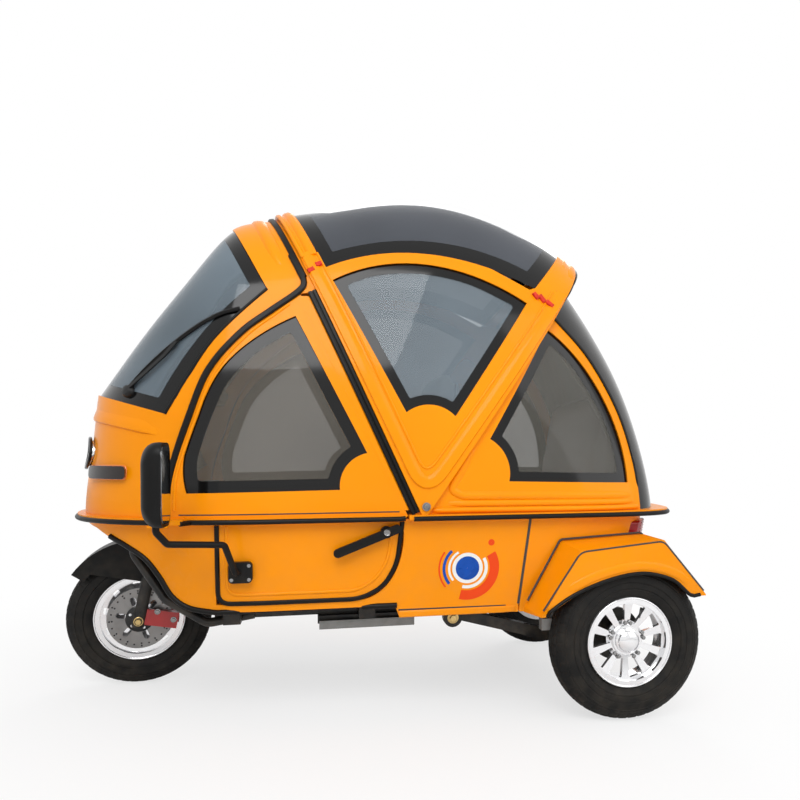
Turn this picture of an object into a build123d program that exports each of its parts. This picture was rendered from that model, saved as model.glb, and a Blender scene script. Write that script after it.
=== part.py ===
"""Enclosed electric tricycle: a glazed cabin body on one steered front wheel and two rear wheels.

Axes on the ground: +X forward, +Y to the left, +Z up, with the origin under the middle of the vehicle.
The cabin stands slightly nose down on its wheels, so its pieces are drawn in their own `deck` frame.
"""

from build123d import *
from math import cos, radians, sin, tan
import os

# ---------------------------------------------------------------- stance and wheels
BODY_PITCH = 2.72  # the cabin's nose-down angle on its wheels, degrees
FRONT_AXLE_X = 784.6
REAR_AXLE_X = -754.0
FRONT_TYRE_RADIUS = 225.0
FRONT_TYRE_WIDTH = 92.0
REAR_TYRE_RADIUS = 249.0
REAR_TYRE_WIDTH = 112.0
REAR_TRACK = 954.0  # from one rear tyre's middle to the other's
RIM_SEAT_RADIUS = 127.0  # a ten-inch rim's bead seat
RIM_LIP_RADIUS = 141.5
RIM_LIP_WIDTH = 6.0
RIM_SPOKES = 10
RIM_BORDER = 6.0  # from a window to the barrel and to the hub
RIM_WINDOW_CORNER = 4.0
REAR_WINDOW_WIDTHS = (17.0, 47.0)  # beside the hub and beside the barrel
FRONT_WINDOW_WIDTHS = (12.0, 24.0)
HUB_RADIUS = 46.0
STEERING_RAKE = 9.0
PARKED_STEER = 7.5  # the wheel is parked turned to the left, degrees

# ---------------------------------------------------------------- cabin body
BELT_BOTTOM = 608.0  # underside of the flange that joins the upper and lower bodies
BELT_THICKNESS = 14.0
BELT_HALF_WIDTH = 490.0
BELT_FRONT_X = 945.0
BELT_REAR_X = -990.0
WALL = 25.0  # a body panel with its inner skin
GLASS = 6.0
GLASS_INSET = 7.0  # how far the glass lies under the skin around it
PROUD = 10.0  # how far the middle canopy stands out over its neighbours
HOOP_DEPTH = 60.0
SHUT_LINE = 4.0
SHOULDER_X = 300.0  # where the sides start to round into the nose
FLOOR_Z = 346.0
FLOOR_THICKNESS = 10.0
TUB_BOTTOM = 306.0

# ---------------------------------------------------------------- doors
HINGE = (600.0, 500.0)  # the upright hinge line beside the front of the door ledge (x, y)
HINGE_PIN_RADIUS = 3.5
HINGE_KNUCKLE_RADIUS = 8.0
HINGE_LEAF_THICKNESS = 6.0
HINGE_LEAF_WIDTH = 44.0
HINGE_LEAF_REACH = 76.0
HINGE_FIT = 0.3
HANDLE_ENDS = ((131.0, 514.0), (-42.0, 581.0))
HANDLE_WIDTH = 26.0
HANDLE_STAND_OFF = 26.0
MIRROR_BRACKET = (406.0, 465.0)
MIRROR_HEAD = (594.0, 655.0, 728.0)  # the middle of the mirror's head
MIRROR_SIZE = (126.0, 216.0)  # the glass face, across and upright
# The head's shell: how far before its middle, the share of its width, and its corner radius.
MIRROR_SHELL = ((-24.0, 1.0, 34.0), (0.0, 0.98, 36.0), (18.0, 0.82, 40.0), (28.0, 0.55, 30.0))
MIRROR_TUBE_RADIUS = 9.0

# ---------------------------------------------------------------- running gear
STEM_RADIUS = 15.0
AXLE_RADIUS = 12.0
RUNNING_FIT = 0.05
FORK_LEG_RADIUS = 19.0
FORK_LEG_Y = 77.0
CROWN_Z = 292.0  # the fork crown above the front axle, along the steering axis
CROWN_THICKNESS = 25.0
HEAD_TUBE = (322.0, 430.0)
HANDLEBAR_Z = 740.0
DISC_RADIUS = 100.0
DISC_THICKNESS = 4.0
DISC_Y = 50.0
AXLE_TUBE_RADIUS = 30.0
WHEEL_CLEARANCE = 26.0  # from the rear tyre to the body around it
FENDER_SKIN = 5.0
RAIL = 50.0
RAIL_Y = 260.0
INNER_GAP = 6.0  # from the inside of the body walls to what stands inside them
SHELF_Z = 690.0
REAR_FLOOR_Z = 500.0

BELT_TOP = BELT_BOTTOM + BELT_THICKNESS
REACH = BELT_FRONT_X  # cutting blocks reach past everything that they cut
BODY_ANGLE = radians(BODY_PITCH)
RAKE = radians(STEERING_RAKE)
STEER = radians(PARKED_STEER)

deck = Plane(
    origin=(0, 0, 0),
    x_dir=(cos(BODY_ANGLE), 0, -sin(BODY_ANGLE)),
    z_dir=(sin(BODY_ANGLE), 0, cos(BODY_ANGLE)),
)
steering = Plane(
    origin=(FRONT_AXLE_X, 0, FRONT_TYRE_RADIUS),
    x_dir=(cos(STEER) * cos(RAKE), sin(STEER), cos(STEER) * sin(RAKE)),
    z_dir=(-sin(RAKE), 0, cos(RAKE)),
)


def plane_in(frame, origin, x_dir, z_dir):
    """A plane placed and turned in the coordinates of another frame."""
    start = frame.from_local_coords(Vector(origin))
    across = frame.from_local_coords(Vector(origin) + Vector(x_dir)) - start
    normal = frame.from_local_coords(Vector(origin) + Vector(z_dir)) - start
    return Plane(origin=start, x_dir=across, z_dir=normal)


def side(y=0.0, frame=deck):
    """The upright plane across Y: local x points forward and local y up, its normal towards -Y."""
    return plane_in(frame, (0, y, 0), (1, 0, 0), (0, -1, 0))


def level(z, frame=deck):
    """A plan plane at a height: local x points forward, local y to the left."""
    return plane_in(frame, (0, 0, z), (1, 0, 0), (0, 0, 1))


def cross(x, frame=deck):
    """The plane across the vehicle at a station: local x to the left, local y up, normal forward."""
    return plane_in(frame, (x, 0, 0), (0, 1, 0), (1, 0, 0))


def fullness(power):
    """The handle share that makes a cubic Bezier quarter follow a superellipse of this power."""
    return (8 * 2 ** (-1 / power) - 4) / 3


# ---------------------------------------------------------------- body surfaces
# Each canopy station: where its plane meets the belt, its top point (x, z), its half width and power.
SCREEN_STATIONS = [
    (872, (925, 932), 235, 2.3),
    (800, (845, 1047), 323, 2.4),
    (735, (775, 1145), 373, 2.5),
    (615, (632, 1338), 432, 2.6),
    (500, (515, 1494), 460, 2.6),
    (440, (450, 1560), 468, 2.6),
    (345, (352, 1588), 473, 2.6),
]
CROWN_STATIONS = [
    (200, (200, 1625), 475, 2.6),
    (50, (25, 1663), 475, 2.6),
    (-60, (-190, 1681), 475, 2.6),
    (-120, (-420, 1637), 475, 2.6),
]
MIDDLE_FRONT = [(345, (352, 1576), 473, 2.6)]
MIDDLE_REAR = [(-160, (-640, 1530), 475, 2.65), (-185, (-745, 1440), 475, 2.7)]
TAIL = [
    (-110, (-560, 1528), 466, 2.6),
    (-170, (-660, 1428), 466, 2.7),
    (-250, (-765, 1270), 466, 2.8),
    (-335, (-853, 1100), 468, 3.0),
    (-410, (-908, 935), 470, 3.3),
    (-470, (-938, 780), 472, 3.7),
    (-515, (-950, BELT_TOP), 475, 4.2),
]
# Each nose section: its height at the shoulder, its front point (x, z) and its half width.
NOSE = [
    (BELT_TOP, (922, BELT_TOP), 475),
    (663, (914, 724), 475),
    (720, (899, 834), 474),
    (777, (890, 918), 473),
    (833, (881, 996), 471),
]
NOSE_POWER = 2.3
# Each tub section: its height, front, rear and half width.
TUB = [
    (BELT_BOTTOM, 918, -905, 462),
    (460, 872, -880, 448),
    (TUB_BOTTOM, 800, -850, 430),
]


def fan_block(stations, inset):
    """The solid under a run of canopy stations, drawn in by inset."""
    with BuildPart() as block:
        for belt_x, (top_x, top_z), half_width, power in stations:
            base = Vector(belt_x, 0, BELT_TOP)
            rise = Vector(top_x, 0, top_z) - base
            tip = rise.length - inset
            half = half_width - inset
            handle = fullness(power)
            with BuildSketch(plane_in(deck, base, (0, 1, 0), Vector(0, 1, 0).cross(rise))):
                with BuildLine():
                    Bezier((half, 0), (half, handle * tip), (handle * half, tip), (0, tip))
                    Bezier((0, tip), (-handle * half, tip), (-half, handle * tip), (-half, 0))
                    Line((-half, 0), (half, 0))
                make_face()
        loft()
    return block.part


def nose_block(inset):
    """The solid nose from the belt to the foot of the windshield, drawn in by inset."""
    handle = fullness(NOSE_POWER)
    with BuildPart() as block:
        for shoulder_z, (front_x, front_z), half_width in NOSE:
            base = Vector(SHOULDER_X, 0, shoulder_z)
            run = Vector(front_x, 0, front_z) - base
            tip = run.length - inset
            half = half_width - inset
            with BuildSketch(plane_in(deck, base, run, run.cross(Vector(0, 1, 0)))):
                with BuildLine():
                    Bezier((0, half), (handle * tip, half), (tip, handle * half), (tip, 0))
                    Bezier((tip, 0), (tip, -handle * half), (handle * tip, -half), (0, -half))
                    Line((0, -half), (0, half))
                make_face()
        loft()
    return block.part


def plan_outline(front_x, rear_x, half, rear_start=-560.0, rear_power=4.5):
    """The closed plan outline of the body, drawn inside a sketch on a level plane."""
    nose = fullness(NOSE_POWER)
    tail = fullness(rear_power)
    nose_x = SHOULDER_X + nose * (front_x - SHOULDER_X)
    tail_x = rear_start - tail * (rear_start - rear_x)
    with BuildSketch() as outline:
        with BuildLine():
            Bezier((SHOULDER_X, half), (nose_x, half), (front_x, nose * half), (front_x, 0))
            Bezier((front_x, 0), (front_x, -nose * half), (nose_x, -half), (SHOULDER_X, -half))
            Line((SHOULDER_X, -half), (rear_start, -half))
            Bezier((rear_start, -half), (tail_x, -half), (rear_x, -tail * half), (rear_x, 0))
            Bezier((rear_x, 0), (rear_x, tail * half), (tail_x, half), (rear_start, half))
            Line((rear_start, half), (SHOULDER_X, half))
        make_face()
    return outline.sketch


def tub_block(inset):
    """The solid lower body under the belt, drawn in by inset."""
    with BuildPart() as block:
        for height, front_x, rear_x, half_width in TUB:
            with BuildSketch(level(height)):
                add(plan_outline(front_x - inset, rear_x + inset, half_width - inset))
        loft()
    return block.part


def wall(block, outer, inner):
    """A shell between two insets of the same block."""
    with BuildPart() as shell:
        add(block(outer))
        add(block(inner), mode=Mode.SUBTRACT)
    return shell.part


def front_block(inset):
    """The canopy over the doors and the windshield."""
    return fan_block(SCREEN_STATIONS + CROWN_STATIONS, inset)


def middle_block(inset):
    """The canopy between the two hoops."""
    return fan_block(MIDDLE_FRONT + CROWN_STATIONS + MIDDLE_REAR, inset)


def tail_block(inset):
    """The canopy behind the rear hoop, closed down to the belt."""
    return fan_block(TAIL, inset)


front_wall = wall(front_block, 0, WALL)
front_glass_wall = wall(front_block, GLASS_INSET, GLASS_INSET + GLASS)
middle_wall = wall(middle_block, -PROUD, WALL - PROUD)
middle_hoop_wall = wall(middle_block, -PROUD, HOOP_DEPTH - PROUD)
middle_glass_wall = wall(middle_block, GLASS_INSET - PROUD, GLASS_INSET - PROUD + GLASS)
tail_wall = wall(tail_block, 0, WALL)
tail_glass_wall = wall(tail_block, GLASS_INSET, GLASS_INSET + GLASS)
nose_wall = wall(nose_block, 0, WALL)
tub_wall = wall(tub_block, 0, WALL)

with BuildPart() as belt_ring:
    with BuildSketch(level(BELT_BOTTOM)):
        add(plan_outline(BELT_FRONT_X, BELT_REAR_X, BELT_HALF_WIDTH, rear_power=5.0))
    extrude(amount=BELT_THICKNESS)
    with BuildSketch(level(BELT_BOTTOM)):
        add(plan_outline(TUB[0][1] - WALL, TUB[0][2] + WALL, TUB[0][3] - WALL))
    extrude(amount=BELT_THICKNESS, mode=Mode.SUBTRACT)

# ---------------------------------------------------------------- seams seen from the side (x, z)
SCREEN_FOOT = ((881, 996), (615, 921))
SCREEN_SLOPE = (SCREEN_FOOT[0][1] - SCREEN_FOOT[1][1]) / (SCREEN_FOOT[0][0] - SCREEN_FOOT[1][0])
SCREEN_CORNER = (332, 1296)
SCREEN_TOP = (466, 1556)
FRONT_LIMB_FOOT = (-116, BELT_TOP)
FRONT_LIMB_SLOPE = 0.4524  # x gained for each millimetre of height along the front limb of the V
REAR_LIMB_FOOT = (-135, BELT_TOP)
REAR_LIMB_SLOPE = -0.693
FRONT_HOOP_WIDTH = 57.0
SEAL_WIDTH = 26.0  # the strip ahead of the limb that the door shuts against
SEAL_TOP_Z = 1284.0
FRONT_HOOP_FOOT_Z = 1420.0
REAR_HOOP_FOOT_Z = 1330.0
SCREEN_SEAM_X = 546.0  # where the plane of the windshield's foot meets the door
DOOR_SEAM = [
    (604, BELT_TOP),
    (597, 735),
    (SCREEN_SEAM_X, SCREEN_FOOT[0][1] + SCREEN_SLOPE * (SCREEN_SEAM_X - SCREEN_FOOT[0][0])),
    (491, 1044),
    (402, 1155),
    (240, 1283),
]
DOOR_REAR = ((240, 1283), (-78, BELT_TOP))
LEDGE_FRONT_X = 604.0
LOWER_SEAM_X = 478.0
TAIL_SEAM = [(-572, 1252), (-690, 1122), (-782, 950), (-826, 780), (-838, BELT_TOP)]
SILL_Z = 358.0
SIDE_REAR_X = -458.0


def screen_foot_z(x):
    """Height of the plane through the foot of the windshield."""
    return SCREEN_FOOT[0][1] + SCREEN_SLOPE * (x - SCREEN_FOOT[0][0])


def front_limb(z, ahead=0.0):
    """A point on the front edge of the V, moved ahead by a distance."""
    return (FRONT_LIMB_FOOT[0] + FRONT_LIMB_SLOPE * (z - BELT_TOP) + ahead, z)


def rear_limb(z, ahead=0.0):
    """A point on the rear edge of the V, moved ahead by a distance."""
    return (REAR_LIMB_FOOT[0] + REAR_LIMB_SLOPE * (z - BELT_TOP) + ahead, z)


def screen_outline():
    """The windshield opening from the side."""
    with BuildSketch() as outline:
        with BuildLine():
            Line((1100, screen_foot_z(1100)), SCREEN_FOOT[1])
            ThreePointArc(SCREEN_FOOT[1], (492, 1125), SCREEN_CORNER)
            Polyline(SCREEN_CORNER, SCREEN_TOP, (580, 1777), (1100, 1777), (1100, screen_foot_z(1100)))
        make_face()
    return outline.sketch


def skylight_outline():
    """The roof glass from the side."""
    low_front = front_limb(1368, -FRONT_HOOP_WIDTH)
    with BuildSketch() as outline:
        with BuildLine():
            Line(front_limb(1800, -FRONT_HOOP_WIDTH), low_front)
            Spline(low_front, (-84, 1429), (-312, 1404), (-503, 1338))
            Polyline((-503, 1338), (-668, 1529), (-902, 1800), front_limb(1800, -FRONT_HOOP_WIDTH))
        make_face()
    return outline.sketch


def upper_window_outline():
    """The glass between the two limbs of the V."""
    with BuildSketch() as outline:
        with BuildLine():
            Spline((141, 1329), (-94, 1394), (-300, 1362), (-467, 1283))
            Line((-467, 1283), (-221, 917))
            ThreePointArc((-221, 917), (-146, 952), (-72, 928))
            Line((-72, 928), (141, 1329))
        make_face()
    return outline.sketch


def door_window_outline():
    """The door glass, with its curved front edge and the quarter round cut from its lower rear."""
    with BuildSketch() as outline:
        with BuildLine():
            Line((250, 1214), (44, 807))
            ThreePointArc((44, 807), (108, 765), (124, 699))
            Line((124, 699), (554, 693))
            Spline((554, 693), (562, 786), (520, 925), (470, 1035), (383, 1130), (250, 1214))
        make_face()
    return outline.sketch


def quarter_window_outline():
    """The rear quarter glass."""
    with BuildSketch() as outline:
        with BuildLine():
            Line((-541, 1207), (-332, 849))
            ThreePointArc((-332, 849), (-385, 790), (-391, 718))
            Line((-391, 718), (-794, 709))
            Spline((-794, 709), (-781, 840), (-745, 953), (-649, 1112), (-541, 1207))
        make_face()
    return outline.sketch


def door_outline(gap):
    """The whole door from the side, drawn in from its seams by a gap."""
    seam = [(x - gap, z - 0.6 * gap) for x, z in DOOR_SEAM[1:]]
    front = LEDGE_FRONT_X - gap
    lower_front = LOWER_SEAM_X - gap
    rear_top = seam[-1]
    rear_foot = (DOOR_REAR[1][0] + gap, BELT_TOP)
    with BuildSketch() as outline:
        with BuildLine():
            Spline((front, BELT_TOP), *seam)
            Polyline(rear_top, rear_foot, (-66 + gap, BELT_BOTTOM), (-63 + gap, 589))
            Spline((-63 + gap, 589), (-49 + gap, 469), (-4, 398 + gap), (64, 366 + gap))
            Line((64, 366 + gap), (lower_front - 40, 366 + gap))
            ThreePointArc(
                (lower_front - 40, 366 + gap), (lower_front - 11.7, 377.7 + gap), (lower_front, 406 + gap)
            )
            Polyline(
                (lower_front, 406 + gap), (lower_front, BELT_BOTTOM), (front, BELT_BOTTOM), (front, BELT_TOP)
            )
        make_face()
    return outline.sketch


# ---------------------------------------------------------------- upper body panels
with BuildPart() as windshield_glass:
    add(front_glass_wall)
    with BuildSketch(side()):
        add(screen_outline())
    extrude(amount=REACH, both=True, mode=Mode.INTERSECT)

with BuildPart() as front_arch:
    add(front_wall)
    with BuildSketch(side()):
        with BuildLine():
            Spline(*DOOR_SEAM[2:])
            Polyline(DOOR_SEAM[-1], front_limb(1292), front_limb(1800), (1100, 1800))
            Polyline((1100, 1800), (1100, screen_foot_z(1100)), DOOR_SEAM[2])
        make_face()
    extrude(amount=REACH, both=True, mode=Mode.INTERSECT)
    with BuildSketch(side()):
        add(screen_outline())
    extrude(amount=REACH, both=True, mode=Mode.SUBTRACT)

with BuildPart() as nose_cowl:
    add(nose_wall)
    with BuildSketch(side()):
        with BuildLine():
            Spline(*DOOR_SEAM[:3])
            Polyline(DOOR_SEAM[2], (1100, screen_foot_z(1100)), (1100, BELT_TOP), DOOR_SEAM[0])
        make_face()
    extrude(amount=REACH, both=True, mode=Mode.INTERSECT)
    with BuildSketch(cross(790)):
        with Locations((150, 809), (-150, 809)):
            Ellipse(62, 47)
    extrude(amount=160, mode=Mode.SUBTRACT)

with BuildPart() as canopy_panel:
    add(middle_wall)
    with BuildSketch(side()):
        with BuildLine():
            Polyline(
                front_limb(BELT_TOP),
                front_limb(FRONT_HOOP_FOOT_Z),
                front_limb(FRONT_HOOP_FOOT_Z, -FRONT_HOOP_WIDTH),
                (-100, 1520),
                rear_limb(REAR_HOOP_FOOT_Z, 145),
                rear_limb(REAR_HOOP_FOOT_Z),
                rear_limb(BELT_TOP),
                close=True,
            )
        make_face()
    extrude(amount=REACH, both=True, mode=Mode.INTERSECT)
    with BuildSketch(side()):
        add(skylight_outline())
        add(upper_window_outline())
    extrude(amount=REACH, both=True, mode=Mode.SUBTRACT)

with BuildPart() as pillar_strip:
    add(front_wall)
    with BuildSketch(side()):
        with BuildLine():
            Polyline(
                front_limb(BELT_TOP),
                front_limb(BELT_TOP, SEAL_WIDTH),
                front_limb(SEAL_TOP_Z, SEAL_WIDTH),
                front_limb(SEAL_TOP_Z),
                close=True,
            )
        make_face()
    extrude(amount=REACH, both=True, mode=Mode.INTERSECT)

with BuildPart() as canopy_sides:
    add(canopy_panel.part)
    add(pillar_strip.part)

with BuildPart() as roof_hoops:
    add(middle_hoop_wall)
    with BuildSketch(side()):
        with BuildLine():
            Polyline(
                front_limb(FRONT_HOOP_FOOT_Z),
                front_limb(1800),
                front_limb(1800, -FRONT_HOOP_WIDTH),
                front_limb(FRONT_HOOP_FOOT_Z, -FRONT_HOOP_WIDTH),
                close=True,
            )
        make_face()
        with BuildLine():
            Polyline(
                rear_limb(REAR_HOOP_FOOT_Z),
                rear_limb(1800),
                (-902, 1800),
                (-668, 1529),
                (-503, 1338),
                rear_limb(REAR_HOOP_FOOT_Z, 145),
                close=True,
            )
        make_face()
    extrude(amount=REACH, both=True, mode=Mode.INTERSECT)

with BuildPart() as roof_glass:
    add(middle_glass_wall)
    with BuildSketch(side()):
        add(skylight_outline())
    extrude(amount=REACH, both=True, mode=Mode.INTERSECT)

with BuildPart() as upper_side_glass:
    add(middle_glass_wall)
    with BuildSketch(side()):
        add(upper_window_outline())
    extrude(amount=REACH, both=True, mode=Mode.INTERSECT)

with BuildPart() as quarter_panels:
    add(tail_wall)
    with BuildSketch(side()):
        with BuildLine():
            Line(rear_limb(BELT_TOP), TAIL_SEAM[0])
            Spline(*TAIL_SEAM)
            Line(TAIL_SEAM[-1], rear_limb(BELT_TOP))
        make_face()
    extrude(amount=REACH, both=True, mode=Mode.INTERSECT)
    with BuildSketch(side()):
        add(quarter_window_outline())
    extrude(amount=REACH, both=True, mode=Mode.SUBTRACT)

with BuildPart() as quarter_glass:
    add(tail_glass_wall)
    with BuildSketch(side()):
        add(quarter_window_outline())
    extrude(amount=REACH, both=True, mode=Mode.INTERSECT)

with BuildPart() as rear_cover:
    add(tail_wall)
    with BuildSketch(side()):
        with BuildLine():
            Spline(*TAIL_SEAM)
            Polyline(TAIL_SEAM[-1], (-1100, BELT_TOP), (-1100, 1700), rear_limb(1700), TAIL_SEAM[0])
        make_face()
    extrude(amount=REACH, both=True, mode=Mode.INTERSECT)


# ---------------------------------------------------------------- lower body
ARCH_LINE = [(563, 361), (608, 394), (674, 499), (843, 583), (930, 600)]
REAR_AXLE = deck.to_local_coords(Vector(REAR_AXLE_X, 0, REAR_TYRE_RADIUS))
WHEEL_WELL_RADIUS = REAR_TYRE_RADIUS + WHEEL_CLEARANCE

with BuildPart() as belt_flange:
    add(belt_ring.part)
    with BuildSketch(level(BELT_BOTTOM)):
        with Locations(((LEDGE_FRONT_X + DOOR_REAR[1][0]) / 2, 0)):
            Rectangle(LEDGE_FRONT_X - DOOR_REAR[1][0], 2 * REACH)
    extrude(amount=BELT_THICKNESS, mode=Mode.SUBTRACT)
    for flip in (-1, 1):
        with BuildSketch(level(BELT_BOTTOM)):
            leaf_x = HINGE[0] + HINGE_LEAF_WIDTH / 2 + SHUT_LINE
            with Locations((leaf_x, flip * (HINGE[1] - HINGE_LEAF_REACH / 2))):
                Rectangle(HINGE_LEAF_WIDTH, HINGE_LEAF_REACH)
            with Locations((HINGE[0], flip * HINGE[1])):
                Circle(HINGE_KNUCKLE_RADIUS)
        extrude(amount=-HINGE_LEAF_THICKNESS)
        with BuildSketch(level(BELT_BOTTOM)):
            with Locations((HINGE[0], flip * HINGE[1])):
                Circle(HINGE_PIN_RADIUS)
        extrude(amount=BELT_THICKNESS + HINGE_LEAF_THICKNESS)

with BuildPart() as front_fairing:
    add(tub_wall)
    with BuildSketch(side()):
        with BuildLine():
            Polyline((LOWER_SEAM_X, SILL_Z - 14), ARCH_LINE[0])
            Spline(*ARCH_LINE[:3])
            Polyline(ARCH_LINE[2], *ARCH_LINE[3:], (930, BELT_BOTTOM), (LOWER_SEAM_X, BELT_BOTTOM))
            Line((LOWER_SEAM_X, BELT_BOTTOM), (LOWER_SEAM_X, SILL_Z - 14))
        make_face()
    extrude(amount=REACH, both=True, mode=Mode.INTERSECT)

with BuildPart() as side_panels:
    add(tub_wall)
    with BuildSketch(side()):
        with BuildLine():
            Line((-66, BELT_BOTTOM), (-63, 589))
            Spline((-63, 589), (-49, 469), (-4, 398), (64, 366))
            Polyline(
                (64, 366),
                (LOWER_SEAM_X, 366),
                (LOWER_SEAM_X, SILL_Z - 14),
                (-40, SILL_Z - 14),
                (-52, 311),
                (SIDE_REAR_X + 31, TUB_BOTTOM),
                (SIDE_REAR_X + 31, 333),
                (SIDE_REAR_X, 593),
                (SIDE_REAR_X, BELT_BOTTOM),
                (-66, BELT_BOTTOM),
            )
        make_face()
    extrude(amount=REACH, both=True, mode=Mode.INTERSECT)

with BuildPart() as rear_body:
    add(tub_wall)
    with BuildSketch(side()):
        with BuildLine():
            Polyline(
                (SIDE_REAR_X - SHUT_LINE, BELT_BOTTOM),
                (SIDE_REAR_X - SHUT_LINE, 593),
                (SIDE_REAR_X + 31 - SHUT_LINE, 333),
                (SIDE_REAR_X + 31 - SHUT_LINE, TUB_BOTTOM),
                (REAR_AXLE.X, TUB_BOTTOM),
                (REAR_AXLE.X, 440),
                (-1000, 440),
                (-1000, BELT_BOTTOM),
                close=True,
            )
        make_face()
        with Locations((REAR_AXLE.X, REAR_AXLE.Z)):
            Circle(WHEEL_WELL_RADIUS, mode=Mode.SUBTRACT)
    extrude(amount=REACH, both=True, mode=Mode.INTERSECT)

FENDER_INNER_Y = 446.0
FENDER_OUTER_Y = 548.0
FENDER_INNER = [(-442, 326), (-555, 531), (-829, 546), (-985, 372)]
FENDER_OUTER = [(-469, 309), (-593, 507), (-868, 533), (-1010, 358)]


def fender_face(points, y, inset):
    """The fender's closed profile at a distance from the middle, drawn in on its three upper sides."""
    front, front_top, rear_top, rear = points
    with BuildSketch(side(y)) as face:
        with BuildLine():
            Polyline(
                (front[0] - inset, front[1] - 40),
                (front[0] - inset, front[1]),
                (front_top[0] - inset, front_top[1] - inset),
                (rear_top[0] + inset, rear_top[1] - inset),
                (rear[0] + inset, rear[1]),
                (rear[0] + inset, rear[1] - 80),
                close=True,
            )
        make_face()
    return face.sketch


with BuildPart() as left_fender:
    add(fender_face(FENDER_INNER, FENDER_INNER_Y, 0))
    add(fender_face(FENDER_OUTER, FENDER_OUTER_Y, 0))
    loft(ruled=True)
    add(fender_face(FENDER_INNER, FENDER_INNER_Y - 1, FENDER_SKIN))
    add(fender_face(FENDER_OUTER, FENDER_OUTER_Y - FENDER_SKIN, FENDER_SKIN))
    loft(ruled=True, mode=Mode.SUBTRACT)
    with BuildSketch(side()):
        with BuildLine():
            Line((-1200, 0), (-1200, 354))
            Line((-1200, 354), (-957, 354))
            Spline((-957, 354), (-900, 405), (-791, 430), (-640, 400), (-486, 311))
            Polyline((-486, 311), (FENDER_OUTER[0][0] + 3, 309), (-400, 306), (-400, 0), (-1200, 0))
        make_face()
    extrude(amount=-REACH, mode=Mode.SUBTRACT)

with BuildPart() as rear_fenders:
    add(left_fender.part)
    add(tub_block(0), mode=Mode.SUBTRACT)
    mirror(about=Plane.XZ)

with BuildPart() as floor_pan:
    with BuildSketch(side()):
        with BuildLine():
            Polyline(
                (522, FLOOR_Z),
                (575, SHELF_Z),
                (1000, SHELF_Z),
                (1000, SHELF_Z + FLOOR_THICKNESS),
                (575 - FLOOR_THICKNESS, SHELF_Z + FLOOR_THICKNESS),
                (522 - FLOOR_THICKNESS, FLOOR_Z + FLOOR_THICKNESS),
                (-470, FLOOR_Z + FLOOR_THICKNESS),
                (-470, REAR_FLOOR_Z + FLOOR_THICKNESS),
                (-1000, REAR_FLOOR_Z + FLOOR_THICKNESS),
                (-1000, REAR_FLOOR_Z),
                (-470 - FLOOR_THICKNESS, REAR_FLOOR_Z),
                (-470 - FLOOR_THICKNESS, FLOOR_Z),
                close=True,
            )
        make_face()
    extrude(amount=REACH, both=True)
    with BuildSketch(level(0)):
        add(plan_outline(885, -905 + WALL + 24, TUB[2][3] - WALL - INNER_GAP))
    extrude(amount=REACH, mode=Mode.INTERSECT)
    with BuildSketch(steering):
        Circle(2 * STEM_RADIUS)
    extrude(amount=REACH, mode=Mode.SUBTRACT)

# ---------------------------------------------------------------- chassis
PIVOT = (-230.0, 283.0)
TUBE_RADIUS = 14.0
RAIL_END_X = -824.0
TOW_PLATE_X = -803.0  # the plate stands upright on the ground's axes, not on the pitched deck's
TOW_PLATE_SPAN = (392.0, 537.0)
TOW_BOLT_Z = 430.0
TOW_PLATE_THICKNESS = 8.0
TOW_BOLT_RADIUS = 5.25
TOW_BOLT_SPACING = (100.0, 40.0)
HEAD_TUBE_WALL = 13.0

with BuildPart() as chassis_frame:
    for flip in (-1, 1):
        with BuildSketch(side(flip * RAIL_Y + RAIL / 2)):
            with BuildLine():
                Polyline(
                    (500, FLOOR_Z),
                    (-470 - FLOOR_THICKNESS, FLOOR_Z),
                    (-470 - FLOOR_THICKNESS, REAR_FLOOR_Z),
                    (RAIL_END_X, REAR_FLOOR_Z),
                    (RAIL_END_X, REAR_FLOOR_Z - 40),
                    (-470 - FLOOR_THICKNESS - RAIL, REAR_FLOOR_Z - 40),
                    (-470 - FLOOR_THICKNESS - RAIL, FLOOR_Z - RAIL),
                    (500, FLOOR_Z - RAIL),
                    close=True,
                )
            make_face()
        extrude(amount=RAIL)
        with BuildSketch(side(flip * 355 + 15)):
            with Locations(PIVOT):
                Circle(30)
            with Locations((PIVOT[0], (PIVOT[1] + FLOOR_Z) / 2)):
                Rectangle(50, FLOOR_Z - PIVOT[1])
        extrude(amount=30)
    for x in (440, 40, PIVOT[0], -520):
        with BuildSketch(level(FLOOR_Z - RAIL)):
            with Locations((x, 0)):
                Rectangle(RAIL, 2 * 375)
        extrude(amount=RAIL - 10)
    with BuildSketch(level(FLOOR_Z - RAIL - 24)):
        with Locations((40, 0)):
            Rectangle(300, 620)
    extrude(amount=24)
    with BuildSketch(Plane.YZ.offset(TOW_PLATE_X)):
        with Locations((0, sum(TOW_PLATE_SPAN) / 2)):
            Rectangle(2 * RAIL_Y + RAIL, TOW_PLATE_SPAN[1] - TOW_PLATE_SPAN[0])
        with Locations((0, TOW_BOLT_Z)):
            with GridLocations(*TOW_BOLT_SPACING, 2, 2):
                Circle(TOW_BOLT_RADIUS, mode=Mode.SUBTRACT)
    extrude(amount=TOW_PLATE_THICKNESS)

# The left tube of the front loop, from the rail to the head tube.
LOOP_CORNERS = [
    (382, 300, 310),
    (518, 300, 289),
    (640, 290, 365),
    (738, 270, 510),
    (715, 150, 600),
    (700, 20, 628),
]

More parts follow.
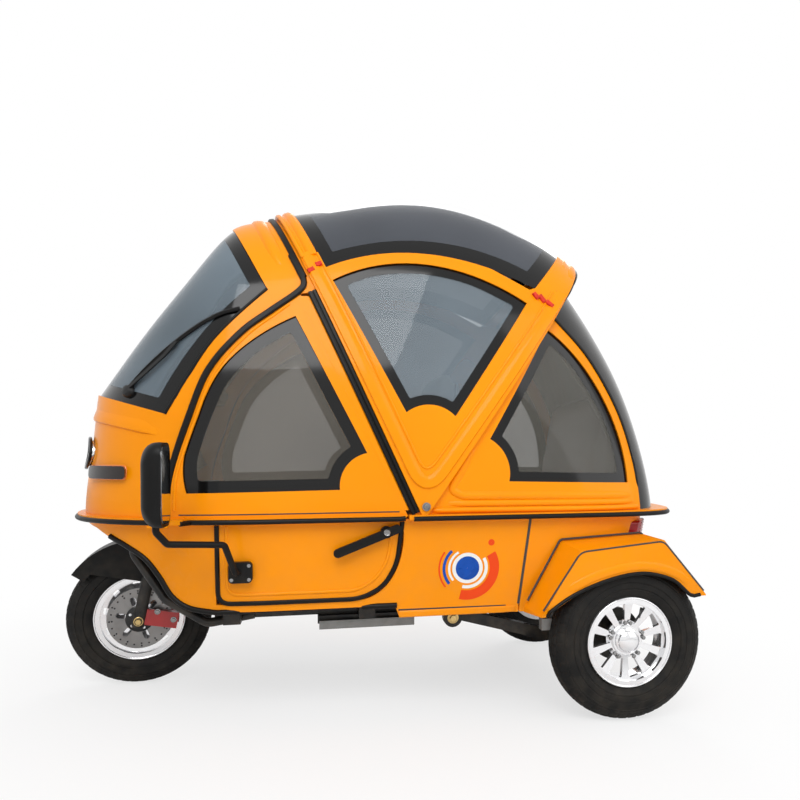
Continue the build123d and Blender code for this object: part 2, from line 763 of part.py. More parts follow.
with BuildPart() as front_loop:
    with BuildSketch(plane_in(steering, (0, 0, HEAD_TUBE[0]), (1, 0, 0), (0, 0, 1))):
        Circle(STEM_RADIUS + HEAD_TUBE_WALL)
    extrude(amount=HEAD_TUBE[1] - HEAD_TUBE[0])
    for flip in (-1, 1):
        points = [deck.from_local_coords(Vector(x, flip * y, z)) for x, y, z in LOOP_CORNERS]
        with BuildLine() as hoop:
            FilletPolyline(*points, radius=40)
        with BuildSketch(Plane(origin=hoop.line @ 0, z_dir=hoop.line % 0)):
            Circle(TUBE_RADIUS)
        sweep(path=hoop.line)
    with BuildSketch(plane_in(steering, (0, 0, HEAD_TUBE[0] - 40), (1, 0, 0), (0, 0, 1))):
        Circle(STEM_RADIUS + RUNNING_FIT)
    extrude(amount=HEAD_TUBE[1] - HEAD_TUBE[0] + 80, mode=Mode.SUBTRACT)
    add(chassis_frame.part, mode=Mode.SUBTRACT)

# Round pieces on the rear axle's line: where each starts (y), its length and its radius.
AXLE_PIECES = [
    (380, 760, AXLE_TUBE_RADIUS),
    (110, 170, 88),
    (500, 1000, AXLE_RADIUS),
    (402, 22, 85),
    (-380, 22, 85),
]
ARM_Y = 318.0
ARM_WIDTH = 36.0
SPRING_Y = 260.0
SPRING_SEAT = 56.0

with BuildPart() as rear_axle:
    for start_y, length, radius in AXLE_PIECES:
        with BuildSketch(plane_in(deck, (REAR_AXLE.X, start_y, REAR_AXLE.Z), (1, 0, 0), (0, -1, 0))):
            Circle(radius)
        extrude(amount=length)
    for flip in (-1, 1):
        with BuildSketch(side(flip * ARM_Y + ARM_WIDTH / 2)):
            with BuildLine():
                Polyline(
                    (PIVOT[0] - 32, PIVOT[1] + 18),
                    (-535, 228),
                    (REAR_AXLE.X, REAR_AXLE.Z + 24),
                    (REAR_AXLE.X, REAR_AXLE.Z - 24),
                    (-535, 190),
                    (PIVOT[0] - 32, PIVOT[1] - 18),
                    close=True,
                )
            make_face()
        extrude(amount=ARM_WIDTH)
        with BuildSketch(level(REAR_AXLE.Z)):
            with Locations((REAR_AXLE.X, flip * SPRING_Y)):
                Rectangle(SPRING_SEAT, SPRING_SEAT)
        foot = AXLE_TUBE_RADIUS + 12
        extrude(amount=foot)
        foot += REAR_AXLE.Z
        for start, end, radius in ((foot, foot + 30, 16), (foot + 30, 430, 27), (430, REAR_FLOOR_Z - 40, 16)):
            with BuildSketch(level(start)):
                with Locations((REAR_AXLE.X, flip * SPRING_Y)):
                    Circle(radius)
            extrude(amount=end - start)

# ---------------------------------------------------------------- cabin
BATTERY_SIZE = (340.0, 420.0, 200.0)
DRIVER_SEAT_HALF = 230.0
DRIVER_SEAT_SECTION = [
    (200, 556),
    (205, 640),
    (-150, 650),
    (-225, 1110),
    (-290, 1125),
    (-270, 640),
    (-180, 556),
]
BENCH_HALF = 360.0
BENCH_CUSHION = (320.0, 740.0, 20.0)  # length, width and corner radius
BENCH_CUSHION_X = -655.0
BENCH_TOP = 1040.0
BENCH_FACE_X = (-700.0, -745.0)  # the front of the backrest at its foot and at its top
DASH_HALF = 300.0
DASH_SECTION = [(600, 760), (640, 850), (740, 870), (770, 740), (650, 730)]
DASH_FOOT = (700.0, 220.0, 40.0)  # each foot's x, y and width

with BuildPart() as battery_pack:
    with BuildSketch(level(FLOOR_Z + FLOOR_THICKNESS)):
        Rectangle(BATTERY_SIZE[0], BATTERY_SIZE[1])
    extrude(amount=BATTERY_SIZE[2])

with BuildPart() as driver_seat:
    with BuildSketch(side(DRIVER_SEAT_HALF)):
        with BuildLine():
            Polyline(*DRIVER_SEAT_SECTION, close=True)
        make_face()
    extrude(amount=2 * DRIVER_SEAT_HALF)

with BuildPart() as rear_bench:
    with BuildSketch(side(BENCH_HALF)):
        with BuildLine():
            Polyline(
                (BENCH_FACE_X[0], BELT_TOP + 2),
                (BENCH_FACE_X[1], BENCH_TOP),
                (-REACH, BENCH_TOP),
                (-REACH, BELT_TOP + 2),
                close=True,
            )
        make_face()
    extrude(amount=2 * BENCH_HALF)
    add(tail_block(WALL + INNER_GAP), mode=Mode.INTERSECT)
    with BuildSketch(level(REAR_FLOOR_Z + FLOOR_THICKNESS)):
        with Locations((BENCH_CUSHION_X, 0)):
            RectangleRounded(*BENCH_CUSHION)
    extrude(amount=BELT_TOP + 2 - REAR_FLOOR_Z - FLOOR_THICKNESS)

with BuildPart() as dash:
    with BuildSketch(side(DASH_HALF)):
        with BuildLine():
            Polyline(*DASH_SECTION, close=True)
        make_face()
    extrude(amount=2 * DASH_HALF)
    for flip in (-1, 1):
        with BuildSketch(level(SHELF_Z + FLOOR_THICKNESS)):
            with Locations((DASH_FOOT[0], flip * DASH_FOOT[1])):
                Rectangle(DASH_FOOT[2], DASH_FOOT[2])
        extrude(amount=60)
    with BuildSketch(steering):
        Circle(2 * STEM_RADIUS)
    extrude(amount=REACH + 200, mode=Mode.SUBTRACT)

# ---------------------------------------------------------------- lamps
HEADLAMP_PLACE = (150.0, 809.0)  # each lamp's middle across the nose (y, z)
HEADLAMP_HALVES = (62.0, 47.0)
HEADLAMP_BACK_X = 790.0
SIGNAL_PLACE = (800.0, 752.0)  # each signal's middle seen from the side (x, z)
SIGNAL_SIZE = (136.0, 38.0, 12.0)
SIGNAL_INNER_Y = 150.0
TAIL_LAMP_PLACE = (375.0, 560.0)
TAIL_LAMP_SIZE = (110.0, 46.0, 10.0)
LAMP_PROUD = (8.0, 14.0, 12.0)  # how far headlamps, signals and tail lamps stand out

with BuildPart() as headlamps:
    with BuildSketch(cross(HEADLAMP_BACK_X)):
        for flip in (-1, 1):
            with Locations((flip * HEADLAMP_PLACE[0], HEADLAMP_PLACE[1])):
                Ellipse(*HEADLAMP_HALVES)
    extrude(amount=BELT_FRONT_X - HEADLAMP_BACK_X)
    add(nose_block(-LAMP_PROUD[0]), mode=Mode.INTERSECT)

with BuildPart() as turn_signals:
    add(nose_block(-LAMP_PROUD[1]))
    add(nose_block(0), mode=Mode.SUBTRACT)
    with BuildSketch(side()):
        with Locations(SIGNAL_PLACE):
            RectangleRounded(*SIGNAL_SIZE)
    extrude(amount=REACH, both=True, mode=Mode.INTERSECT)
    with BuildSketch(side()):
        with Locations(SIGNAL_PLACE):
            Rectangle(2 * SIGNAL_SIZE[0], 2 * SIGNAL_SIZE[0])
    extrude(amount=SIGNAL_INNER_Y, both=True, mode=Mode.SUBTRACT)

with BuildPart() as tail_lamps:
    add(tub_block(-LAMP_PROUD[2]))
    add(tub_block(0), mode=Mode.SUBTRACT)
    with BuildSketch(cross(-800)):
        for flip in (-1, 1):
            with Locations((flip * TAIL_LAMP_PLACE[0], TAIL_LAMP_PLACE[1])):
                RectangleRounded(*TAIL_LAMP_SIZE)
    extrude(amount=-REACH, mode=Mode.INTERSECT)

# ---------------------------------------------------------------- doors
def clip(block, outline, flip):
    """The share of a block inside a side outline, on the left (1) or the right (-1)."""
    with BuildPart() as share:
        add(block)
        with BuildSketch(side()):
            add(outline)
        extrude(amount=-flip * REACH, mode=Mode.INTERSECT)
    return share.part


DOOR_SHAPE = door_outline(SHUT_LINE)
DOOR_WINDOW = door_window_outline()
(HANDLE_FRONT_X, HANDLE_FRONT_Z), (HANDLE_REAR_X, HANDLE_REAR_Z) = HANDLE_ENDS
door_pieces = {}
for hand, flip in (("left", 1), ("right", -1)):
    upper = clip(front_wall, DOOR_SHAPE, flip)
    ledge = clip(belt_ring.part, DOOR_SHAPE, flip)
    lower = clip(tub_wall, DOOR_SHAPE, flip)
    with BuildPart() as door_panel:
        add(upper)
        add(ledge)
        add(lower)
        with BuildSketch(side()):
            add(DOOR_WINDOW)
        extrude(amount=REACH, both=True, mode=Mode.SUBTRACT)
        with BuildSketch(level(BELT_BOTTOM + HINGE_FIT)):
            with Locations((HINGE[0] - HINGE_LEAF_WIDTH / 2, flip * (HINGE[1] - HINGE_LEAF_REACH / 2))):
                Rectangle(HINGE_LEAF_WIDTH, HINGE_LEAF_REACH)
            with Locations((HINGE[0], flip * HINGE[1])):
                Circle(HINGE_KNUCKLE_RADIUS)
                Circle(HINGE_PIN_RADIUS + HINGE_FIT, mode=Mode.SUBTRACT)
        extrude(amount=BELT_THICKNESS)
    with BuildPart() as door_glass:
        add(front_glass_wall)
        with BuildSketch(side()):
            add(DOOR_WINDOW)
        extrude(amount=-flip * REACH, mode=Mode.INTERSECT)
    with BuildPart() as door_handle:
        grip_y = TUB[0][3] + HANDLE_STAND_OFF - 14
        with BuildSketch(plane_in(deck, (0, flip * grip_y, 0), (1, 0, 0), (0, -1, 0))):
            middle = ((HANDLE_FRONT_X + HANDLE_REAR_X) / 2, (HANDLE_FRONT_Z + HANDLE_REAR_Z) / 2)
            SlotCenterPoint(middle, HANDLE_ENDS[1], HANDLE_WIDTH)
        extrude(amount=-flip * 14)
        with BuildSketch(plane_in(deck, (0, flip * (grip_y - 40), 0), (1, 0, 0), (0, -1, 0))):
            with Locations((HANDLE_REAR_X + 30, HANDLE_REAR_Z - 10)):
                Circle(18)
        extrude(amount=-flip * 40)
        add(tub_block(0), mode=Mode.SUBTRACT)
    bracket_x, bracket_z = MIRROR_BRACKET
    head_x, head_y, head_z = MIRROR_HEAD
    with BuildPart() as mirror:
        with BuildSketch(plane_in(deck, (0, flip * 430, 0), (1, 0, 0), (0, -1, 0))):
            with Locations(MIRROR_BRACKET):
                RectangleRounded(66, 60, 12)
        extrude(amount=-flip * 40)
        add(tub_block(0), mode=Mode.SUBTRACT)
        arm = [
            (bracket_x + 6, 464, bracket_z),
            (bracket_x + 10, 500, bracket_z + 4),
            (440, 545, 556),
            (head_x - 24, head_y - 20, 572),
            (head_x, head_y, 606),
            (head_x, head_y, head_z - MIRROR_SIZE[1] / 2 + 14),
        ]
        points = [deck.from_local_coords(Vector(x, flip * y, z)) for x, y, z in arm]
        with BuildLine() as path:
            FilletPolyline(*points, radius=16)
        with BuildSketch(Plane(origin=path.line @ 0, z_dir=path.line % 0)):
            Circle(MIRROR_TUBE_RADIUS)
        sweep(path=path.line)
        for reach, share, corner in MIRROR_SHELL:
            shrink = MIRROR_SIZE[0] * (1 - share)
            with BuildSketch(cross(head_x + reach)):
                with Locations((flip * head_y, head_z)):
                    RectangleRounded(MIRROR_SIZE[0] - shrink, MIRROR_SIZE[1] - shrink, corner)
        loft()
    door_pieces[f"{hand}_door_panel"] = door_panel
    door_pieces[f"{hand}_door_glass"] = door_glass
    door_pieces[f"{hand}_door_handle"] = door_handle
    door_pieces[f"{hand}_mirror"] = mirror


# ---------------------------------------------------------------- wheels
def wheel_plane(centre, outward):
    """The plane a wheel's section is drawn in: local x along the axle outward, local y up."""
    frame = Plane(origin=centre, x_dir=outward, z_dir=Vector(outward).cross(Vector(0, 0, 1)))
    return frame


def tyre(plane, radius, width, lip_half):
    """A tyre seated on its rim, drawn as half a section and turned about the axle."""
    half = width / 2
    bead = lip_half - RIM_LIP_WIDTH
    shoulder = radius - 26
    middle = (RIM_LIP_RADIUS + shoulder) / 2
    with BuildPart() as body:
        with BuildSketch(plane):
            with BuildLine():
                Polyline((-bead, RIM_LIP_RADIUS + 1), (-bead, RIM_SEAT_RADIUS), (bead, RIM_SEAT_RADIUS))
                Line((bead, RIM_SEAT_RADIUS), (bead, RIM_LIP_RADIUS + 1))
                ThreePointArc((bead, RIM_LIP_RADIUS + 1), (half, middle), (half - 8, shoulder))
                ThreePointArc((half - 8, shoulder), (0, radius), (8 - half, shoulder))
                ThreePointArc((8 - half, shoulder), (-half, middle), (-bead, RIM_LIP_RADIUS + 1))
            make_face()
        revolve(axis=Axis(plane.origin, plane.x_dir))
    return body


def rim(plane, lip_half, spokes, window_widths, hub_radius, hub_span, bore):
    """A cast rim: barrel with two lips, a disc with a window between each two spokes, and a hub."""
    bead = lip_half - RIM_LIP_WIDTH
    inner = RIM_SEAT_RADIUS - 5
    face = lip_half - 22
    with BuildPart() as body:
        with BuildSketch(plane):
            with BuildLine():
                Polyline(
                    (-lip_half, RIM_LIP_RADIUS),
                    (-lip_half, inner),
                    (lip_half, inner),
                    (lip_half, RIM_LIP_RADIUS),
                    (bead, RIM_LIP_RADIUS),
                    (bead, RIM_SEAT_RADIUS),
                    (-bead, RIM_SEAT_RADIUS),
                    (-bead, RIM_LIP_RADIUS),
                    close=True,
                )
            make_face()
            with BuildLine():
                Polyline(
                    (face - 10, hub_radius - 5),
                    (face, inner + 1),
                    (face - 14, inner + 1),
                    (face - 26, hub_radius - 5),
                    close=True,
                )
            make_face()
            with Locations(((hub_span[0] + hub_span[1]) / 2, (hub_radius + bore) / 2)):
                Rectangle(hub_span[1] - hub_span[0], hub_radius - bore)
        revolve(axis=Axis(plane.origin, plane.x_dir))
        window = Plane(origin=plane.origin, x_dir=plane.y_dir, z_dir=plane.x_dir)
        reach = (inner - hub_radius) / 2 - RIM_BORDER
        near, far = window_widths
        with BuildSketch(window) as openings:
            with PolarLocations((hub_radius + inner) / 2, spokes, start_angle=180 / spokes):
                Polygon((-reach, -near / 2), (reach, -far / 2), (reach, far / 2), (-reach, near / 2))
            fillet(openings.vertices(), RIM_WINDOW_CORNER)
        extrude(amount=lip_half, mode=Mode.SUBTRACT)
    return body


REAR_LIP_HALF = 45.0
FRONT_LIP_HALF = 38.0
wheels = {}
for hand, flip in (("left", 1), ("right", -1)):
    plane = wheel_plane((REAR_AXLE_X, flip * REAR_TRACK / 2, REAR_TYRE_RADIUS), (0, flip, 0))
    wheels[f"rear_tyre_{hand}"] = tyre(plane, REAR_TYRE_RADIUS, REAR_TYRE_WIDTH, REAR_LIP_HALF)
    wheels[f"rear_rim_{hand}"] = rim(
        plane,
        REAR_LIP_HALF,
        RIM_SPOKES,
        REAR_WINDOW_WIDTHS,
        HUB_RADIUS,
        (-REAR_LIP_HALF, REAR_LIP_HALF - 24),
        AXLE_RADIUS + RUNNING_FIT,
    )

front_plane = plane_in(steering, (0, 0, 0), (0, 1, 0), (1, 0, 0))
front_tyre = tyre(front_plane, FRONT_TYRE_RADIUS, FRONT_TYRE_WIDTH, FRONT_LIP_HALF)
front_rim = rim(
    front_plane,
    FRONT_LIP_HALF,
    RIM_SPOKES,
    FRONT_WINDOW_WIDTHS,
    HUB_RADIUS,
    (-FRONT_LIP_HALF - 2, DISC_Y - DISC_THICKNESS / 2),
    AXLE_RADIUS + RUNNING_FIT,
)

with BuildPart() as front_brake_disc:
    with BuildSketch(plane_in(steering, (0, DISC_Y + DISC_THICKNESS / 2, 0), (1, 0, 0), (0, -1, 0))):
        Circle(DISC_RADIUS)
        Circle(AXLE_RADIUS + 4, mode=Mode.SUBTRACT)
        with PolarLocations(58, 6):
            SlotOverall(32, 18, mode=Mode.SUBTRACT)
    extrude(amount=DISC_THICKNESS)

# ---------------------------------------------------------------- steering
with BuildPart() as front_fork:
    for flip in (-1, 1):
        with BuildSketch(plane_in(steering, (0, flip * FORK_LEG_Y, -22), (1, 0, 0), (0, 0, 1))):
            Circle(FORK_LEG_RADIUS)
        extrude(amount=CROWN_Z + CROWN_THICKNESS + 22)
    with BuildSketch(plane_in(steering, (0, 0, CROWN_Z), (1, 0, 0), (0, 0, 1))):
        RectangleRounded(56, 2 * FORK_LEG_Y + 50, 20)
    extrude(amount=CROWN_THICKNESS)
    with BuildSketch(plane_in(steering, (0, 0, CROWN_Z), (1, 0, 0), (0, 0, 1))):
        Circle(STEM_RADIUS)
    extrude(amount=HANDLEBAR_Z - CROWN_Z - 16)
    with BuildSketch(plane_in(steering, (0, FORK_LEG_Y + 25, 0), (1, 0, 0), (0, -1, 0))):
        Circle(AXLE_RADIUS)
    extrude(amount=2 * FORK_LEG_Y + 50)

with BuildPart() as handlebar:
    bar = [(-110, -245, 30), (-45, -110, 8), (0, -60, 0), (0, 60, 0), (-45, 110, 8), (-110, 245, 30)]
    points = [steering.from_local_coords(Vector(x, y, HANDLEBAR_Z + z)) for x, y, z in bar]
    with BuildLine() as bar_path:
        FilletPolyline(*points, radius=35)
    with BuildSketch(Plane(origin=bar_path.line @ 0, z_dir=bar_path.line % 0)):
        Circle(11)
    sweep(path=bar_path.line)
    with BuildSketch(plane_in(steering, (0, 0, HANDLEBAR_Z - 16), (1, 0, 0), (0, 0, 1))):
        RectangleRounded(50, 90, 12)
    extrude(amount=32)
    for end, near in ((0, 1), (1, 0)):
        tip = bar_path.line @ end
        inward = (bar_path.line % end) * (1 if end == 0 else -1)
        with BuildSketch(Plane(origin=tip, z_dir=inward)):
            Circle(16)
        extrude(amount=105)

FENDER_CENTRE = (4.0, 18.0)
FRONT_FENDER_RADIUS = 243.0
FRONT_FENDER_START = 145.0
FRONT_FENDER_SWEEP = 122.0
FRONT_FENDER_HALF = 56.0
FRONT_FENDER_SKIRT = 44.0
FRONT_FENDER_SKIN = 4.0
CHEEK_FOOT = 122.0  # the lower edge of the fender's side cheeks, above the axle
CHEEK_REAR = 34.0  # how far the cheeks reach behind the axle

with BuildPart() as front_fender:
    start = radians(FRONT_FENDER_START)
    section = plane_in(
        steering, (FENDER_CENTRE[0], 0, FENDER_CENTRE[1]), (0, 1, 0), (sin(start), 0, -cos(start))
    )
    with BuildSketch(section):
        with Locations((0, FRONT_FENDER_RADIUS - FRONT_FENDER_SKIRT / 2)):
            Rectangle(2 * FRONT_FENDER_HALF, FRONT_FENDER_SKIRT)
        with Locations((0, FRONT_FENDER_RADIUS - FRONT_FENDER_SKIRT / 2 - FRONT_FENDER_SKIN)):
            Rectangle(2 * (FRONT_FENDER_HALF - FRONT_FENDER_SKIN), FRONT_FENDER_SKIRT, mode=Mode.SUBTRACT)
    revolve(axis=Axis(section.origin, section.x_dir), revolution_arc=FRONT_FENDER_SWEEP)
    for flip in (-1, 1):
        with BuildSketch(plane_in(steering, (0, flip * FRONT_FENDER_HALF, 0), (1, 0, 0), (0, -1, 0))):
            with Locations(FENDER_CENTRE):
                Circle(FRONT_FENDER_RADIUS - FRONT_FENDER_SKIN)
            with Locations((-CHEEK_REAR, CHEEK_FOOT)):
                Rectangle(
                    2 * FRONT_FENDER_RADIUS,
                    FRONT_FENDER_RADIUS,
                    align=(Align.MIN, Align.MIN),
                    mode=Mode.INTERSECT,
                )
        extrude(amount=flip * FRONT_FENDER_SKIN)

with BuildPart() as brake_caliper:
    outer_y = FORK_LEG_Y + 6
    near_y = DISC_Y + DISC_THICKNESS / 2 + 2.5
    far_y = DISC_Y - DISC_THICKNESS / 2 - 2
    with BuildSketch(plane_in(steering, (0, 0, -12), (1, 0, 0), (0, 0, 1))):
        with BuildLine():
            Polyline(
                (-66, near_y),
                (-66, outer_y),
                (-118, outer_y),
                (-118, far_y - 5),
                (-74, far_y - 5),
                (-74, far_y),
                (-DISC_RADIUS - 4, far_y),
                (-DISC_RADIUS - 4, near_y),
                close=True,
            )
        make_face()
        with Locations((-45, outer_y - 6)):
            Rectangle(60, 12)
    extrude(amount=52)
    add(front_fork.part, mode=Mode.SUBTRACT)

pieces = {
    "chassis_frame": chassis_frame,
    "floor_pan": floor_pan,
    "battery_pack": battery_pack,
    "rear_axle": rear_axle,
    "front_loop": front_loop,
    "front_fairing": front_fairing,
    "side_panels": side_panels,
    "rear_body": rear_body,
    "rear_fenders": rear_fenders,
    "belt_flange": belt_flange,
    "nose_cowl": nose_cowl,
    "windshield_glass": windshield_glass,
    "front_arch": front_arch,
    "canopy_sides": canopy_sides,
    "roof_hoops": roof_hoops,
    "roof_glass": roof_glass,
    "upper_side_glass": upper_side_glass,
    "quarter_panels": quarter_panels,
    "quarter_glass": quarter_glass,
    "rear_cover": rear_cover,
    "headlamps": headlamps,
    "turn_signals": turn_signals,
    "tail_lamps": tail_lamps,
    "driver_seat": driver_seat,
    "rear_bench": rear_bench,
    "dash": dash,
    **door_pieces,
    "front_fork": front_fork,
    "handlebar": handlebar,
    "front_fender": front_fender,
    "brake_caliper": brake_caliper,
    "front_rim": front_rim,
    "front_tyre": front_tyre,
    "front_brake_disc": front_brake_disc,
    **wheels,
}
os.makedirs("parts", exist_ok=True)
for name, piece in pieces.items():
    piece.part.label = name
    export_step(piece.part, f"parts/{name}.step")
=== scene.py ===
import logging
from dataclasses import dataclass, field
from enum import Enum
from math import cos, hypot, pi, radians, sin

import bmesh
import bpy
from mathutils import Matrix, Vector
from mathutils.bvhtree import BVHTree


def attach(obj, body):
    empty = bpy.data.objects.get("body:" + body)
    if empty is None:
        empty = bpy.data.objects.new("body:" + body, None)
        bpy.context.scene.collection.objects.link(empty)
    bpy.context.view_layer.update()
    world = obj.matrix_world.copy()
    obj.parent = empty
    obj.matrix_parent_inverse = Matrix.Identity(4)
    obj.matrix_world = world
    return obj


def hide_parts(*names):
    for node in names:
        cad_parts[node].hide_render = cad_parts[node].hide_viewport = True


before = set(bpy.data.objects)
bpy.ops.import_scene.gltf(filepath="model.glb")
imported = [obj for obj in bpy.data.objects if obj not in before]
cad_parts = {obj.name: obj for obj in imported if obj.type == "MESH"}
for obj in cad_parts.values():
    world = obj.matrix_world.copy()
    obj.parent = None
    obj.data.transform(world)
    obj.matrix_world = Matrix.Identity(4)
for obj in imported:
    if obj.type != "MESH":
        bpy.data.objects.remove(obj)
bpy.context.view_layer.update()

log = logging.getLogger("tricycle")

PITCH = radians(2.72)
BELT_TOP = 0.622
RAKE = radians(9.0)
PARKED_STEER = radians(7.5)
FRONT_AXLE = (0.7846, 0, 0.225)
REAR_AXLE_X = -0.754
REAR_HALF_TRACK = 0.477
REAR_TYRE_RADIUS = 0.249
SIDES = (1, -1)

Row = tuple[Vector, Vector]
Flat = tuple[float, float]


class Slot(Enum):
    """The material slots of the vehicle, passed with each added piece but not used."""

    BODY_YELLOW = "body_yellow"
    GLOSS_BLACK = "gloss_black"
    BLACK_PLASTIC = "black_plastic"
    FRAME_BLACK = "frame_black"
    FLOOR_GREY = "floor_grey"
    CLEAR_LENS = "clear_lens"
    AMBER_LENS = "amber_lens"
    RED_LENS = "red_lens"
    SEAT_COVER = "seat_cover"
    POLISHED_ALLOY = "polished_alloy"
    TYRE = "tyre"


def deck(x: float, y: float, z: float) -> Vector:
    """A point of the cabin's own pitched frame, in the ground frame, metres."""
    return Vector((x * cos(PITCH) + z * sin(PITCH), y, z * cos(PITCH) - x * sin(PITCH)))


def from_deck_axis(x: float, y: float, z: float) -> Vector:
    """A direction of the cabin's frame, in the ground frame."""
    return deck(x, y, z)


# ------------------------------------------------------------------ node groups
def filled(node: bpy.types.Node, values: dict) -> bpy.types.Node:
    """Sets plain values of a node's inputs.

    Args:
        node: the node.
        values: the values, by the inputs' names or numbers.
    Returns:
        The same node.
    """
    for socket, value in values.items():
        node.inputs[socket].default_value = value
    return node


def grouped(tree: bpy.types.NodeTree, group: bpy.types.NodeTree, values: dict) -> bpy.types.Node:
    """Places a shared group in a tree.

    Args:
        tree: the tree that it joins.
        group: the group.
        values: its own values, by the inputs' names.
    Returns:
        The group's node.
    """
    made = tree.nodes.new("ShaderNodeGroup")
    made.node_tree = group
    return filled(made, values)


def added(
    tree: bpy.types.NodeTree, kind: str, values: dict | None = None, operation: str = ""
) -> bpy.types.Node:
    """Adds a shader node.

    Args:
        tree: the tree that it joins.
        kind: the node's type.
        values: plain values of its inputs, by their name or number.
        operation: what a math node does.
    Returns:
        The node.
    """
    made = tree.nodes.new(kind)
    if operation:
        made.operation = operation
    return filled(made, values or {})


def wire(
    tree: bpy.types.NodeTree, start: bpy.types.Node, output: int | str, end: bpy.types.Node, entry: int | str
) -> None:
    """Links an output of one node, by its name or number, to an input of another."""
    tree.links.new(start.outputs[output], end.inputs[entry])


class Groups:
    """Shared shader effects, each made once as a node group."""

    _made: dict[str, bpy.types.NodeTree] = {}

    @classmethod
    def _new(cls, name: str, inputs: list[tuple], outputs: list[tuple]) -> tuple:
        """Starts a group.

        Args:
            name: the group's name.
            inputs: (name, socket type, default) triples.
            outputs: (name, socket type) pairs.
        Returns:
            The tree, its input node and its output node.
        """
        tree = bpy.data.node_groups.new(name, "ShaderNodeTree")
        for label, kind, default in inputs:
            item = tree.interface.new_socket(label, in_out="INPUT", socket_type=kind)
            if default is not None:
                item.default_value = default
        for label, kind in outputs:
            tree.interface.new_socket(label, in_out="OUTPUT", socket_type=kind)
        cls._made[name] = tree
        return tree, tree.nodes.new("NodeGroupInput"), tree.nodes.new("NodeGroupOutput")

    @classmethod
    def tone(cls) -> bpy.types.NodeTree:
        """Slow and fine variation of a colour, as hand-sprayed or moulded surfaces have.

        Returns:
            The group's tree.
        """
        if "tone" in cls._made:
            return cls._made["tone"]
        tree, given, out = cls._new(
            "tone",
            [
                ("Colour", "NodeSocketColor", None), ("Amount", "NodeSocketFloat", 0.1),
                ("Scale", "NodeSocketFloat", 3.0)
            ],
            [("Colour", "NodeSocketColor"), ("Value", "NodeSocketFloat")],
        )
        place = added(tree, "ShaderNodeTexCoord")
        noise = added(tree, "ShaderNodeTexNoise", {"Detail": 6.0})
        spread = added(tree, "ShaderNodeMapRange", {"From Min": 0.3, "From Max": 0.7, "To Max": 1.0})
        low = added(tree, "ShaderNodeMath", {0: 1.0}, operation="SUBTRACT")
        scale = added(tree, "ShaderNodeVectorMath", operation="SCALE")
        wire(tree, place, "Object", noise, "Vector")
        wire(tree, given, "Scale", noise, "Scale")
        wire(tree, noise, "Fac", spread, "Value")
        wire(tree, given, "Amount", low, 1)
        wire(tree, low, 0, spread, "To Min")
        wire(tree, given, "Colour", scale, 0)
        wire(tree, spread, 0, scale, "Scale")
        wire(tree, scale, 0, out, "Colour")
        wire(tree, noise, "Fac", out, "Value")
        return tree

    @classmethod
    def painted_horizon_shade(cls) -> bpy.types.NodeTree:
        """Painted reflection shade: a metal's colour darkened on its sides and undersides by which way the
        surface faces, standing in for the ground and what stands round it that it would mirror.

        Returns:
            The group's tree.
        """
        if "painted_horizon_shade" in cls._made:
            return cls._made["painted_horizon_shade"]
        tree, given, out = cls._new(
            "painted_horizon_shade",
            [("Colour", "NodeSocketColor", None), ("Amount", "NodeSocketFloat", 0.5)],
            [("Colour", "NodeSocketColor")],
        )
        shape = added(tree, "ShaderNodeNewGeometry")
        split = added(tree, "ShaderNodeSeparateXYZ")
        spread = added(tree, "ShaderNodeMapRange", {"From Min": -0.35, "From Max": 0.85})
        spread.interpolation_type = "SMOOTHSTEP"
        low = added(tree, "ShaderNodeMath", {0: 1.0}, operation="SUBTRACT")
        scale = added(tree, "ShaderNodeVectorMath", operation="SCALE")
        wire(tree, shape, "Normal", split, 0)
        wire(tree, split, "Z", spread, "Value")
        wire(tree, given, "Amount", low, 1)
        wire(tree, low, 0, spread, "To Min")
        wire(tree, given, "Colour", scale, 0)
        wire(tree, spread, 0, scale, "Scale")
        wire(tree, scale, 0, out, "Colour")
        return tree

    @classmethod
    def grain(cls) -> bpy.types.NodeTree:
        """A fine bump, from orange peel to moulded leather grain.

        Returns:
            The group's tree.
        """
        if "grain" in cls._made:
            return cls._made["grain"]
        tree, given, out = cls._new(
            "grain",
            [
                ("Scale", "NodeSocketFloat", 300.0),
                ("Depth", "NodeSocketFloat", 0.0002),
                ("Height", "NodeSocketFloat", 0.0),
                ("Stretch", "NodeSocketVector", (1.0, 1.0, 1.0)),
            ],
            [("Normal", "NodeSocketVector")],
        )
        place = added(tree, "ShaderNodeTexCoord")
        stretch = added(tree, "ShaderNodeVectorMath", operation="MULTIPLY")
        noise = added(tree, "ShaderNodeTexNoise", {"Detail": 3.0})
        deep = added(tree, "ShaderNodeMath", operation="MULTIPLY_ADD")
        bump = added(tree, "ShaderNodeBump", {"Strength": 1.0, "Distance": 1.0})
        wire(tree, place, "Object", stretch, 0)
        wire(tree, given, "Stretch", stretch, 1)
        wire(tree, stretch, 0, noise, "Vector")
        wire(tree, given, "Scale", noise, "Scale")
        wire(tree, noise, "Fac", deep, 0)
        wire(tree, given, "Depth", deep, 1)
        wire(tree, given, "Height", deep, 2)
        wire(tree, deep, 0, bump, "Height")
        wire(tree, bump, "Normal", out, "Normal")
        return tree

